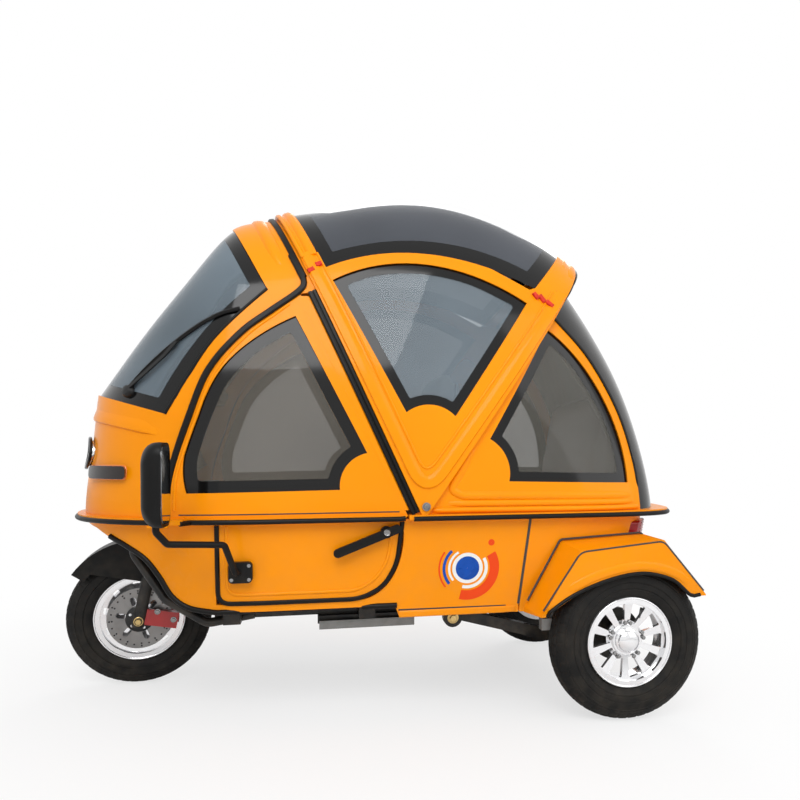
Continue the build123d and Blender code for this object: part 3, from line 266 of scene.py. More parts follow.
    @classmethod
    def dust(cls) -> bpy.types.NodeTree:
        """Road dust that gathers low on the vehicle.

        Returns:
            The group's tree.
        """
        if "dust" in cls._made:
            return cls._made["dust"]
        tree, given, out = cls._new(
            "dust", [("Amount", "NodeSocketFloat", 0.3), ("Top", "NodeSocketFloat", 0.5)],
            [("Mask", "NodeSocketFloat")]
        )
        place = added(tree, "ShaderNodeTexCoord")
        split = added(tree, "ShaderNodeSeparateXYZ")
        fall = added(tree, "ShaderNodeMapRange", {"To Min": 1.0, "To Max": 0.0})
        noise = added(tree, "ShaderNodeTexNoise", {"Scale": 22.0, "Detail": 8.0})
        patch = added(tree, "ShaderNodeMapRange", {"From Min": 0.38, "From Max": 0.72})
        both = added(tree, "ShaderNodeMath", operation="MULTIPLY")
        much = added(tree, "ShaderNodeMath", operation="MULTIPLY")
        wire(tree, place, "Object", split, 0)
        wire(tree, split, "Z", fall, "Value")
        wire(tree, given, "Top", fall, "From Max")
        wire(tree, place, "Object", noise, "Vector")
        wire(tree, noise, "Fac", patch, "Value")
        wire(tree, fall, 0, both, 0)
        wire(tree, patch, 0, both, 1)
        wire(tree, both, 0, much, 0)
        wire(tree, given, "Amount", much, 1)
        wire(tree, much, 0, out, "Mask")
        return tree

    @classmethod
    def edge(cls) -> bpy.types.NodeTree:
        """Distance inside one straight edge of a window, joined to the edges before it.

        Returns:
            The group's tree.
        """
        if "edge" in cls._made:
            return cls._made["edge"]
        tree, given, out = cls._new(
            "edge",
            [
                ("Inward", "NodeSocketVector", None),
                ("Offset", "NodeSocketFloat", 0.0),
                ("Before", "NodeSocketFloat", 1.0),
                ("Rounding", "NodeSocketFloat", 0.02),
            ],
            [("Distance", "NodeSocketFloat")],
        )
        place = added(tree, "ShaderNodeTexCoord")
        along = added(tree, "ShaderNodeVectorMath", operation="DOT_PRODUCT")
        less = added(tree, "ShaderNodeMath", operation="SUBTRACT")
        least = added(tree, "ShaderNodeMath", operation="SMOOTH_MIN")
        wire(tree, place, "Object", along, 0)
        wire(tree, given, "Inward", along, 1)
        wire(tree, along, "Value", less, 0)
        wire(tree, given, "Offset", less, 1)
        wire(tree, less, 0, least, 0)
        wire(tree, given, "Before", least, 1)
        wire(tree, given, "Rounding", least, 2)
        wire(tree, least, 0, out, "Distance")
        return tree

    @classmethod
    def arc(cls) -> bpy.types.NodeTree:
        """Distance outside a round cut-out of a window, joined to the edges before it.

        Returns:
            The group's tree.
        """
        if "arc" in cls._made:
            return cls._made["arc"]
        tree, given, out = cls._new(
            "arc",
            [
                ("Centre", "NodeSocketVector", None),
                ("Radius", "NodeSocketFloat", 0.1),
                ("Before", "NodeSocketFloat", 1.0),
            ],
            [("Distance", "NodeSocketFloat")],
        )
        place = added(tree, "ShaderNodeTexCoord")
        flat = added(tree, "ShaderNodeVectorMath", {1: (1.0, 0.0, 1.0)}, operation="MULTIPLY")
        away = added(tree, "ShaderNodeVectorMath", operation="DISTANCE")
        less = added(tree, "ShaderNodeMath", operation="SUBTRACT")
        least = added(tree, "ShaderNodeMath", {2: 0.008}, operation="SMOOTH_MIN")
        wire(tree, place, "Object", flat, 0)
        wire(tree, flat, 0, away, 0)
        wire(tree, given, "Centre", away, 1)
        wire(tree, away, "Value", less, 0)
        wire(tree, given, "Radius", less, 1)
        wire(tree, less, 0, least, 0)
        wire(tree, given, "Before", least, 1)
        wire(tree, least, 0, out, "Distance")
        return tree


# ------------------------------------------------------------------ materials
@dataclass(frozen=True)
class Finish:
    """One procedural surface: its colour, gloss, grain and dust, and on metals a painted reflection shade.
    """

    name: str
    colour: tuple[float, float, float]
    roughness: float = 0.5
    metallic: float = 0.0
    coat: float = 0.0
    coat_roughness: float = 0.04
    specular: float = 0.5
    tone: float = 0.12
    tone_scale: float = 3.0
    grain_scale: float = 300.0
    grain_depth: float = 0.00005
    stretch: tuple[float, float, float] = (1.0, 1.0, 1.0)
    dust: float = 0.0
    dust_top: float = 0.55
    alpha: float = 1.0
    transmission: float = 0.0
    emission: float = 0.0
    # painted reflection shade: how much a metal's sides and undersides are darkened
    painted_horizon_shade: float = 0.0

    def make(self) -> bpy.types.Material:
        """Builds the material, or returns the one made before.

        Returns:
            The material.
        """
        known = bpy.data.materials.get(self.name)
        if known is not None:
            return known
        material = bpy.data.materials.new(self.name)
        material.use_nodes = True
        tree = material.node_tree
        shader = filled(
            tree.nodes["Principled BSDF"],
            {
                "Metallic": self.metallic, "Coat Weight": self.coat, "Coat Roughness": self.coat_roughness,
                "Specular IOR Level": self.specular, "Alpha": self.alpha,
                "Transmission Weight": self.transmission
            }
        )
        hue = (*self.colour, 1.0)
        tone = grouped(tree, Groups.tone(), {"Colour": hue, "Amount": self.tone, "Scale": self.tone_scale})
        rough = added(
            tree, "ShaderNodeMapRange",
            {
                "From Min": 0.3, "From Max": 0.7, "To Min": self.roughness * 0.85,
                "To Max": min(1.0, self.roughness * 1.15)
            }
        )
        wire(tree, tone, "Value", rough, "Value")
        colour, gloss = tone.outputs["Colour"], rough.outputs[0]
        # painted reflection shade: the colour darkens where the surface faces sideways or down
        if self.painted_horizon_shade > 0:
            painted_horizon_shade = grouped(tree, Groups.painted_horizon_shade(), {"Amount": self.painted_horizon_shade})
            tree.links.new(colour, painted_horizon_shade.inputs["Colour"])
            colour = painted_horizon_shade.outputs["Colour"]
        if self.dust > 0:
            dust = grouped(tree, Groups.dust(), {"Amount": self.dust, "Top": self.dust_top})
            dirty = added(tree, "ShaderNodeMix")
            dirty.data_type = "RGBA"
            dirty.inputs["B"].default_value = (0.23, 0.19, 0.14, 1.0)
            wire(tree, dust, "Mask", dirty, "Factor")
            tree.links.new(colour, dirty.inputs["A"])
            matt = added(tree, "ShaderNodeMix", {"B": 0.85})
            wire(tree, dust, "Mask", matt, "Factor")
            tree.links.new(gloss, matt.inputs["A"])
            colour, gloss = dirty.outputs["Result"], matt.outputs["Result"]
        tree.links.new(colour, shader.inputs["Base Color"])
        tree.links.new(gloss, shader.inputs["Roughness"])
        if self.emission > 0:
            tree.links.new(colour, shader.inputs["Emission Color"])
            shader.inputs["Emission Strength"].default_value = self.emission
        grain = grouped(
            tree, Groups.grain(),
            {"Scale": self.grain_scale, "Depth": self.grain_depth, "Stretch": self.stretch}
        )
        wire(tree, grain, "Normal", shader, "Normal")
        return material


YELLOW = Finish(
    "paint_yellow", (0.93, 0.295, 0.001), 0.30, coat=0.12, specular=0.10, tone=0.10, tone_scale=2.2,
    grain_scale=160.0, grain_depth=0.00002, dust=0.10, dust_top=0.75
)
BLACK_GLOSS = Finish(
    "trim_gloss_black", (0.005, 0.0045, 0.004), 0.20, coat=0.35, specular=0.3, tone=0.3, grain_scale=90.0,
    grain_depth=0.00004
)
PLASTIC = Finish(
    "moulded_plastic", (0.007, 0.007, 0.007), 0.40, specular=0.15, tone=0.25, tone_scale=9.0,
    grain_scale=1400.0, grain_depth=0.00012, dust=0.25
)
FRAME_BLACK = Finish(
    "frame_powder_coat", (0.006, 0.006, 0.006), 0.40, coat=0.1, specular=0.3, tone=0.3, grain_scale=900.0,
    grain_depth=0.00006, dust=0.4
)
FLOOR_GREY = Finish(
    "floor_liner", (0.12, 0.12, 0.12), 0.7, tone=0.25, tone_scale=8.0, grain_scale=500.0, grain_depth=0.0003
)
RUBBER = Finish(
    "seal_rubber", (0.006, 0.0055, 0.005), 0.40, specular=0.18, tone=0.3, tone_scale=14.0,
    grain_scale=600.0, grain_depth=0.00008
)
TYRE = Finish(
    "tyre_rubber", (0.012, 0.0115, 0.011), 0.60, specular=0.15, tone=0.35, tone_scale=26.0,
    grain_scale=700.0, grain_depth=0.00012, dust=0.10, dust_top=0.6
)
# these metals carry painted reflection shade, darker on their sides and undersides
CHROME = Finish(
    "bright_chrome", (0.55, 0.55, 0.55), 0.16, metallic=1.0, painted_horizon_shade=0.6, tone=0.1, tone_scale=20.0,
    grain_scale=80.0, grain_depth=0.00001
)
ALLOY = Finish(
    "polished_alloy", (0.38, 0.375, 0.365), 0.28, metallic=1.0, painted_horizon_shade=0.66, tone=0.14, tone_scale=18.0,
    grain_scale=500.0, grain_depth=0.00004, dust=0.12, dust_top=0.4
)
STEEL = Finish(
    "brushed_steel", (0.44, 0.43, 0.42), 0.36, metallic=1.0, painted_horizon_shade=0.45, tone=0.25, tone_scale=24.0,
    grain_scale=260.0, grain_depth=0.00005, stretch=(1.0, 8.0, 1.0)
)
BRASS = Finish("zinc_brass", (0.72, 0.52, 0.22), 0.34, metallic=1.0, tone=0.3, tone_scale=60.0)
RED_PAINT = Finish(
    "caliper_paint", (0.45, 0.012, 0.012), 0.42, coat=0.4, tone=0.2, tone_scale=30.0, grain_scale=700.0,
    grain_depth=0.0001
)
VINYL_LIGHT = Finish(
    "seat_vinyl_light", (0.62, 0.615, 0.60), 0.35, coat=0.35, tone=0.15, tone_scale=8.0, grain_scale=1200.0,
    grain_depth=0.0002
)
LENS_RED = Finish(
    "lens_red", (0.34, 0.004, 0.005), 0.16, coat=0.4, specular=0.3, tone=0.15, tone_scale=40.0,
    grain_scale=260.0, grain_depth=0.0002, stretch=(1.0, 1.0, 4.0)
)
LENS_SMOKE = Finish(
    "lens_smoke", (0.012, 0.005, 0.003), 0.10, coat=0.25, specular=0.25, tone=0.4, tone_scale=30.0
)
AMBER = Finish("lens_amber", (0.85, 0.20, 0.01), 0.18, coat=0.6, tone=0.2, tone_scale=60.0)
CLEAR = Finish("lens_clear", (0.93, 0.95, 0.96), 0.04, tone=0.03, specular=0.8, alpha=0.16, coat=0.4)
REFLECTOR = Finish(
    "lamp_reflector", (0.86, 0.86, 0.86), 0.12, metallic=1.0, tone=0.1, grain_scale=120.0,
    grain_depth=0.0003
)
LAMP_CORE = Finish("lamp_core", (0.75, 0.80, 0.86), 0.06, coat=1.0, tone=0.1, tone_scale=60.0)
MIRROR_GLASS = Finish("mirror_glass", (0.72, 0.75, 0.78), 0.03, metallic=1.0, tone=0.04)
LINER = Finish(
    "cabin_liner", (0.055, 0.052, 0.05), 0.8, tone=0.3, tone_scale=30.0, grain_scale=700.0,
    grain_depth=0.0003
)
TAPE = Finish("tape_red", (0.72, 0.05, 0.03), 0.55, specular=0.1, tone=0.3, tone_scale=90.0)
DECAL_WHITE = Finish("decal_white", (0.80, 0.80, 0.78), 0.32, coat=0.4, tone=0.05)
DECAL_BLUE = Finish(
    "decal_blue", (0.004, 0.075, 0.42), 0.3, coat=0.1, specular=0.15, tone=0.2, tone_scale=30.0
)
DECAL_ORANGE = Finish("decal_orange", (0.80, 0.06, 0.004), 0.3, coat=0.1, specular=0.15, tone=0.08)
GREY_CASTING = Finish(
    "grey_casting", (0.28, 0.28, 0.27), 0.55, metallic=0.6, tone=0.3, tone_scale=30.0, grain_scale=300.0,
    grain_depth=0.0002
)


def circle_through(a: Flat, b: Flat, c: Flat) -> tuple[Flat, float]:
    """The circle through three points of a plane, as its centre and radius.

    Args:
        a: the first point.
        b: the second point.
        c: the third point.
    Returns:
        The centre and the radius.
    """
    d = 2 * (a[0] * (b[1] - c[1]) + b[0] * (c[1] - a[1]) + c[0] * (a[1] - b[1]))
    sa, sb, sc = (p[0] ** 2 + p[1] ** 2 for p in (a, b, c))
    x = (sa * (b[1] - c[1]) + sb * (c[1] - a[1]) + sc * (a[1] - b[1])) / d
    z = (sa * (c[0] - b[0]) + sb * (a[0] - c[0]) + sc * (b[0] - a[0])) / d
    return (x, z), hypot(a[0] - x, a[1] - z)


@dataclass(frozen=True)
class Pane:
    """A window: its straight edges, its round cut-out and its printed black border, seen from the side."""

    name: str
    nodes: tuple[str, ...]
    edges: tuple[tuple[Flat, Flat], ...]
    inside: Flat
    arcs: tuple[tuple[Flat, Flat, Flat], ...] = ()
    border: float = 0.034
    rounding: float = 0.02
    tint: tuple[float, float, float] = (0.045, 0.052, 0.058)
    density: float = 0.26
    gloss: float = 0.5

    def make(self) -> None:
        """Builds the pane's material and gives it to its CAD nodes."""
        material = bpy.data.materials.new(self.name)
        material.use_nodes = True
        tree = material.node_tree
        shader = tree.nodes["Principled BSDF"]
        last = None
        for start, end in self.edges:
            across = Vector((-(end[1] - start[1]), end[0] - start[0])).normalized()
            if across.dot(Vector(self.inside) - Vector(start)) < 0:
                across.negate()
            normal = from_deck_axis(across.x, 0, across.y)
            offset = normal.dot(deck(start[0], 0, start[1]))
            node = grouped(
                tree, Groups.edge(), {"Inward": normal, "Offset": offset, "Rounding": self.rounding}
            )
            if last is not None:
                tree.links.new(last, node.inputs["Before"])
            last = node.outputs["Distance"]
        for points in self.arcs:
            centre, radius = circle_through(*points)
            middle = deck(centre[0], 0, centre[1])
            node = grouped(tree, Groups.arc(), {"Centre": middle, "Radius": radius})
            if last is not None:
                tree.links.new(last, node.inputs["Before"])
            last = node.outputs["Distance"]
        rim = added(
            tree, "ShaderNodeMapRange",
            {
                "From Min": self.border - 0.0008, "From Max": self.border + 0.0008, "To Min": 1.0,
                "To Max": 0.0
            }
        )
        tree.links.new(last, rim.inputs["Value"])
        hue = (*self.tint, 1.0)
        tone = grouped(tree, Groups.tone(), {"Colour": hue, "Amount": 0.35, "Scale": 2.0})
        colour = added(tree, "ShaderNodeMix")
        colour.data_type = "RGBA"
        colour.inputs["B"].default_value = (0.0045, 0.0045, 0.0045, 1.0)
        wire(tree, rim, 0, colour, "Factor")
        wire(tree, tone, "Colour", colour, "A")
        wire(tree, colour, "Result", shader, "Base Color")
        facing = added(tree, "ShaderNodeFresnel", {"IOR": 1.5})
        clear = added(tree, "ShaderNodeMath", {1: self.gloss, 2: self.density}, operation="MULTIPLY_ADD")
        clear.use_clamp = True
        wire(tree, facing, 0, clear, 0)
        solid = added(tree, "ShaderNodeMath", operation="MAXIMUM")
        wire(tree, clear, 0, solid, 0)
        wire(tree, rim, 0, solid, 1)
        wire(tree, solid, 0, shader, "Alpha")
        rough = added(tree, "ShaderNodeMapRange", {"To Min": 0.015, "To Max": 0.10})
        wire(tree, rim, 0, rough, "Value")
        wire(tree, rough, 0, shader, "Roughness")
        shader.inputs["IOR"].default_value = 1.38
        for name in self.nodes:
            paint(name, material)


def chain(*points: Flat) -> tuple[tuple[Flat, Flat], ...]:
    """The straight runs between points."""
    return tuple(zip(points, points[1:]))


PANES = (
    Pane(
        "glass_door",
        ("left_door_glass", "right_door_glass"),
        chain((0.250, 1.214), (0.044, 0.807))
        + chain(
            (0.124, 0.699), (0.554, 0.693), (0.562, 0.786), (0.520, 0.925), (0.470, 1.035), (0.383, 1.130),
            (0.250, 1.214)
        ),
        (0.30, 0.90),
        (((0.044, 0.807), (0.108, 0.765), (0.124, 0.699)),),
        border=0.034,
        tint=(0.17, 0.155, 0.13),
        density=0.46,
    ),
    Pane(
        "glass_upper_side",
        ("upper_side_glass",),
        chain(
            (0.141, 1.329), (0.03, 1.378), (-0.094, 1.394), (-0.20, 1.386), (-0.300, 1.362), (-0.467, 1.283),
            (-0.221, 0.917)
        )
        + chain((-0.072, 0.928), (0.141, 1.329)),
        (-0.13, 1.2),
        (((-0.221, 0.917), (-0.146, 0.952), (-0.072, 0.928)),),
        border=0.030,
        tint=(0.22, 0.27, 0.31),
        density=0.56,
    ),
    Pane(
        "glass_quarter",
        ("quarter_glass",),
        chain((-0.541, 1.207), (-0.332, 0.849))
        + chain(
            (-0.391, 0.718), (-0.794, 0.709), (-0.781, 0.840), (-0.745, 0.953), (-0.649, 1.112),
            (-0.541, 1.207)
        ),
        (-0.57, 0.9),
        (((-0.332, 0.849), (-0.385, 0.790), (-0.391, 0.718)),),
        border=0.030,
        tint=(0.15, 0.145, 0.125),
        density=0.40,
    ),
    Pane(
        "glass_roof",
        ("roof_glass",),
        chain((0.164, 1.368), (0.359, 1.800)) + chain((-0.503, 1.338), (-0.668, 1.529), (-0.902, 1.800)),
        (-0.2, 1.65),
        (((0.164, 1.368), (-0.14, 1.432), (-0.503, 1.338)),),
        border=0.045,
        rounding=0.05,
        tint=(0.105, 0.115, 0.135),
        density=0.66,
    ),
    Pane(
        "glass_windshield",
        ("windshield_glass",),
        chain((1.1, 1.0577), (0.615, 0.921)) + chain((0.332, 1.296), (0.466, 1.556)),
        (0.75, 1.15),
        (((0.615, 0.921), (0.492, 1.125), (0.332, 1.296)),),
        border=0.040,
        rounding=0.04,
        tint=(0.24, 0.30, 0.35),
        density=0.50,
    ),
)


def paint(name: str, material: bpy.types.Material) -> None:
    """Gives a CAD node its material.

    Args:
        name: the node.
        material: what it is made of.
    """
    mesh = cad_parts[name].data
    mesh.materials.clear()
    mesh.materials.append(material)


# ------------------------------------------------------------------ geometry
def wrap(
    name: str,
    mesh: bpy.types.Mesh,
    finish: Finish,
    body: str,
    sharp: float = 35.0,
) -> bpy.types.Object:
    """Makes an object of a finished mesh, gives it its material and lets it ride on a body.

    Args:
        name: the piece's name.
        mesh: its mesh.
        finish: its surface.
        body: the body that carries it.
        sharp: the angle, in degrees, above which an edge stays hard.
    Returns:
        The object.
    """
    mesh.materials.append(finish.make())
    mesh.shade_smooth()
    mesh.set_sharp_from_angle(angle=radians(sharp))
    made = bpy.data.objects.new(name, mesh)
    bpy.context.scene.collection.objects.link(made)
    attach(made, body)
    log.info("%s rides on %s with %d faces", name, body, len(mesh.polygons))
    return made


@dataclass
class Shape:
    """A mesh under construction, from sweeps, turned sections and plates."""

    verts: list[Vector] = field(default_factory=list)
    faces: list[tuple[int, ...]] = field(default_factory=list)

    def ring_loft(
        self, rings: list[list[Vector]], closed: bool = False, caps: bool = True, wrap_ring: bool = True
    ) -> None:
        """Joins rings of equal length into a skin.

        Args:
            rings: the rings in order.
            closed: whether the last ring joins the first.
            caps: whether the open ends are filled.
            wrap_ring: whether each ring is a closed loop.
        """
        start, size = len(self.verts), len(rings[0])
        for ring in rings:
            self.verts.extend(ring)
        pairs = len(rings) if closed else len(rings) - 1
        for i in range(pairs):
            a = start + i * size
            b = start + ((i + 1) % len(rings)) * size
            for j in range(size if wrap_ring else size - 1):
                k = (j + 1) % size
                self.faces.append((a + j, a + k, b + k, b + j))
        if caps and not closed and wrap_ring:
            self.faces.append(tuple(start + j for j in reversed(range(size))))
            last = start + (len(rings) - 1) * size
            self.faces.append(tuple(last + j for j in range(size)))

    def strip(self, rows: list[Row], profile: list[Flat], closed: bool = False) -> None:
        """Sweeps a flat section along rows of points and outward normals.

        Args:
            rows: (point, normal) pairs along the path.
            profile: the section as (across, lift) pairs, metres.
            closed: whether the path is a loop.
        """
        rings = []
        count = len(rows)
        for i, (point, normal) in enumerate(rows):
            before = rows[(i - 1) % count if closed else max(i - 1, 0)][0]
            after = rows[(i + 1) % count if closed else min(i + 1, count - 1)][0]
            tangent = (after - before).normalized()
            across = tangent.cross(normal).normalized()
            lift = across.cross(tangent).normalized()
            rings.append([point + across * a + lift * h for a, h in profile])
        self.ring_loft(rings, closed)

    def tube(self, path: list[Vector], radius: float, sides: int = 14, closed: bool = False) -> None:
        """Sweeps a circle along a path without twist.

        Args:
            path: the middle line.
            radius: the circle's radius.
            sides: how many sides the circle has.
            closed: whether the path runs back to its start.
        """
        tangent = (path[1] - path[0]).normalized()
        normal = tangent.orthogonal().normalized()
        rows = []
        for i, point in enumerate(path):
            before, after = path[max(i - 1, 0)], path[min(i + 1, len(path) - 1)]
            tangent = (after - before).normalized()
            normal = (normal - tangent * normal.dot(tangent)).normalized()
            rows.append((point, normal.copy()))
        self.strip(
            rows,
            [(radius * cos(2 * pi * k / sides), radius * sin(2 * pi * k / sides)) for k in range(sides)],
            closed
        )

    def turned(self, frame_at: Matrix, section: list[Flat], sides: int = 32, caps: bool = True) -> None:
        """Turns a section about the local z axis of a frame.

        Args:
            frame_at: where the turned piece stands.
            section: (radius, height) pairs from the foot upward.
            sides: how many sides the round has.
            caps: whether the first and last rings are filled.
        """
        rings = [
            [
                frame_at @ Vector((r * cos(2 * pi * k / sides), r * sin(2 * pi * k / sides), h))
                for k in range(sides)
            ]
            for r, h in section
        ]
        self.ring_loft(rings, caps=caps)

    def plate(self, outline: list[Vector], thickness: Vector) -> None:
        """A flat plate between an outline and the outline moved by its thickness."""
        self.ring_loft([outline, [p + thickness for p in outline]])

    def mesh(self, name: str) -> bpy.types.Mesh:
        """The finished mesh, with its normals made consistent.

        Args:
            name: the mesh's name.
        Returns:
            The mesh.
        """
        mesh = bpy.data.meshes.new(name)
        mesh.from_pydata([tuple(v) for v in self.verts], [], self.faces)
        work = bmesh.new()
        work.from_mesh(mesh)
        bmesh.ops.recalc_face_normals(work, faces=work.faces)
        work.to_mesh(mesh)
        work.free()
        return mesh

    def place(
        self, name: str, finish: Finish, body: str, slot: Slot, sharp: float = 35.0
    ) -> bpy.types.Object:
        """Ends the shape as an object that rides on a body."""
        return wrap(name, self.mesh(name), finish, body, sharp)


def stand(point: Vector, normal: Vector) -> Matrix:
    """The frame of a piece that stands on a point along a normal."""
    turn = normal.to_track_quat("Z", "Y").to_matrix().to_4x4()
    return Matrix.Translation(point) @ turn


def smooth_path(points: list[Vector], step: float) -> list[Vector]:
    """Points along a Catmull-Rom curve through the given points.

    Args:
        points: what the curve goes through.
        step: the spacing along it.
    Returns:
        The points.
    """
    ends = [points[0] * 2 - points[1], *points, points[-1] * 2 - points[-2]]
    out = []
    for a, b, c, d in zip(ends, ends[1:], ends[2:], ends[3:]):
        count = max(2, round((c - b).length / step))
        for i in range(count):
            t = i / count
            out.append(
                0.5 * (
                    2 * b + (c - a) * t + (2 * a - 5 * b + 4 * c - d) * t * t + (3 * b - a - 3 * c + d)
                    * t ** 3
                )
            )
    return [*out, points[-1].copy()]


def filleted(points: list[Vector], radius: float, step: float = 0.012) -> list[Vector]:
    """Points along straight runs with rounded corners.

    Args:
        points: the corners.
        radius: how round they are.
        step: the spacing along the line.
    Returns:
        The points.
    """
    out = [points[0].copy()]
    for before, corner, after in zip(points, points[1:], points[2:]):
        a, b = (before - corner), (after - corner)
        reach = min(radius, 0.45 * a.length, 0.45 * b.length)
        p, q = corner + a.normalized() * reach, corner + b.normalized() * reach
        out.extend((p.lerp(corner, t)).lerp(corner.lerp(q, t), t) for t in (k / 7 for k in range(8)))
    out.append(points[-1].copy())
    dense = [out[0]]
    for a, b in zip(out, out[1:]):
        count = max(1, round((b - a).length / step))
        dense.extend(a.lerp(b, (i + 1) / count) for i in range(count))
    return dense


class Skin:
    """Finds points on the outside of chosen CAD nodes."""

    def __init__(self, *names: str) -> None:
        """Gathers the named nodes into one search tree.

        Args:
            names: the CAD nodes that make up the surface.
        """
        verts: list[Vector] = []
        faces: list[tuple[int, ...]] = []
        for name in names:
            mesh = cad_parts[name].data
            start = len(verts)
            verts.extend(v.co.copy() for v in mesh.vertices)
            faces.extend(tuple(start + i for i in p.vertices) for p in mesh.polygons)
        self.tree = BVHTree.FromPolygons(verts, faces)

    def cast(self, start: Vector, toward: Vector) -> Row:
        """The first point met from a start in a direction, or the nearest point where nothing is met.

        Args:
            start: where the look-up starts.
            toward: its direction, and its length for the nearest point.
        Returns:
            The point and its outward normal.
        """
        hit, normal, _, _ = self.tree.ray_cast(start, toward.normalized())
        if hit is None:
            hit, normal, _, _ = self.tree.find_nearest(start + toward)
        if normal.dot(toward) > 0:
            normal = -normal
        return hit, normal

    def flank(self, x: float, z: float, hand: int) -> Row:
        """The outer surface at a point of the side view, on the left (1) or right (-1)."""
        return self.cast(deck(x, hand * 0.8, z), Vector((0, -hand, 0)) * 0.38)

    def laid(
        self,
        points: list[Flat],
        hand: int,
        inset: float = 0.0,
        shift: float = 0.0,
        step: float = 0.012,
        curved: bool = False,
        radius: float = 0.03,
    ) -> list[Row]:
        """Rows along a line of the side view, laid on the surface and evened out.

        Args:
            points: the line's corners, or the points that its curve goes through.
            hand: the left side (1) or the right (-1).
            inset: how far to the line's left, as it runs, the surface is looked up.
            shift: how far to its left the rows themselves lie.
            step: the spacing of the rows.
            curved: whether the line is a smooth curve.
            radius: how round the corners of a straight-sided line are.
        Returns:
            The rows, as (point, outward normal) pairs.
        """
        flat = [Vector((x, z, 0)) for x, z in points]
        flat = smooth_path(flat, step) if curved else filleted(flat, radius, step)
        rows = []
        for k, p in enumerate(flat):
            tangent = (flat[min(k + 1, len(flat) - 1)] - flat[max(k - 1, 0)]).normalized()
            left = Vector((-tangent.y, tangent.x, 0))
            seen, at = p + left * inset, p + left * shift
            hit, normal = self.flank(seen.x, seen.y, hand)
            place = deck(at.x, 0, at.y)
            lean = (
                (place.x - hit.x) * normal.x + (place.z - hit.z) * normal.z
            ) / normal.y if abs(normal.y) > 0.3 else 0.0
            rows.append((Vector((place.x, hit.y - lean, place.z)), normal))
        return evened(rows)


def evened(rows: list[Row], reach: int = 3) -> list[Row]:
    """Rows whose depth and normals are averaged with their neighbours, the ends kept in line.

    Args:
        rows: the rows as they were found.
        reach: how many neighbours on each side count.
    Returns:
        The evened rows.
    """
    out = []
    for k, (point, _) in enumerate(rows):
        span = min(reach, k, len(rows) - 1 - k)
        near = rows[k - span : k + span + 1]
        middle = sum((p for p, _ in near), Vector()) / len(near)
        wide = rows[max(k - reach, 0) : k + reach + 1]
        normal = sum((n for _, n in wide), Vector()).normalized()
        out.append((point + normal * (middle - point).dot(normal), normal))
    return out


def sunk(rows: list[Row], depth: float = 0.009, count: int = 6) -> list[Row]:
    """Rows that dive under the surface at both ends, so that a raised section fades in and out.

    Args:
        rows: the rows of a raised section.
        depth: how deep the ends go.
        count: how many rows the dive takes.
    Returns:
        The rows with sunken ends.
    """
    out = []
    for k, (point, normal) in enumerate(rows):
        near = min(k, len(rows) - 1 - k, count) / count
        out.append((point - normal * depth * (1 - near) ** 2, normal))
    return out


def bead(width: float, height: float, sink: float = 0.002, steps: int = 6) -> list[Flat]:
    """A half-round section, its foot sunk a little into the surface.

    Args:
        width: its width.
        height: its height.
        sink: how deep its foot goes.
        steps: how many steps the round has.
    Returns:
        The section.
    """
    half = width / 2
    top = [(-half * cos(pi * k / steps), height * sin(pi * k / steps)) for k in range(steps + 1)]
    return [*top, (half, -sink), (-half, -sink)]


def band(width: float, height: float, lip: float = 0.0015, sink: float = 0.002) -> list[Flat]:
    """A flat section with rounded shoulders.

    Args:
        width: its width.
        height: its height.
        lip: how wide the shoulders are.
        sink: how deep its foot goes.
    Returns:
        The section.
    """
    half = width / 2
    return [
        (-half, -sink), (-half, height - lip), (-half + lip, height), (half - lip, height),
        (half, height - lip), (half, -sink)
    ]


def mirrored(profile: list[Flat], hand: int) -> list[Flat]:
    """A section for the left side (1), or the same section for the right side (-1)."""
    return profile if hand > 0 else [(-a, h) for a, h in reversed(profile)]


def bolt(shape: Shape, point: Vector, normal: Vector, radius: float, washer: float = 1.5) -> None:
    """A hexagon bolt head on its washer.

    Args:
        shape: what it is added to.
        point: where it stands.
        normal: which way it points.
        radius: the head's radius.
        washer: the washer's radius, as a multiple of the head's.
    """
    at = stand(point, normal)
    shape.turned(
        at, [(radius * washer, -0.001), (radius * washer, 0.0012), (radius * washer * 0.94, 0.0018)], 24
    )
    top = radius * 0.85
    shape.turned(at, [(radius, 0.0015), (radius, top), (radius * 0.86, top + radius * 0.12)], 6)


def dome(shape: Shape, point: Vector, normal: Vector, radius: float, height: float) -> None:
    """A round button or rivet head."""
    section = [(radius * cos(pi / 2 * k / 6), height * sin(pi / 2 * k / 6)) for k in range(6)]
    shape.turned(stand(point, normal), [(radius, -0.002), *section, (radius * 0.05, height)], 24)


def limb(z: float, ahead: float = 0.0) -> Flat:
    """A point of the front edge of the side V, moved ahead."""
    return (-0.116 + 0.4524 * (z - BELT_TOP) + ahead, z)


def rear_limb(z: float, ahead: float = 0.0) -> Flat:
    """A point of the rear edge of the side V, moved ahead."""
    return (-0.135 - 0.693 * (z - BELT_TOP) + ahead, z)


DOOR_FRONT: list[Flat] = [
    (0.402, 1.155), (0.491, 1.044), (0.546, 0.902), (0.580, 0.800), (0.597, 0.735), (0.604, 0.630)
]
LIMB_TOP = 1.418
REAR_LIMB_TOP = 1.330
PILLAR = 0.026


def door_rear(z: float) -> float:
    """The rear edge of the door's opening at a height, in the side view."""
    return 0.240 - 0.4811 * (1.283 - z)


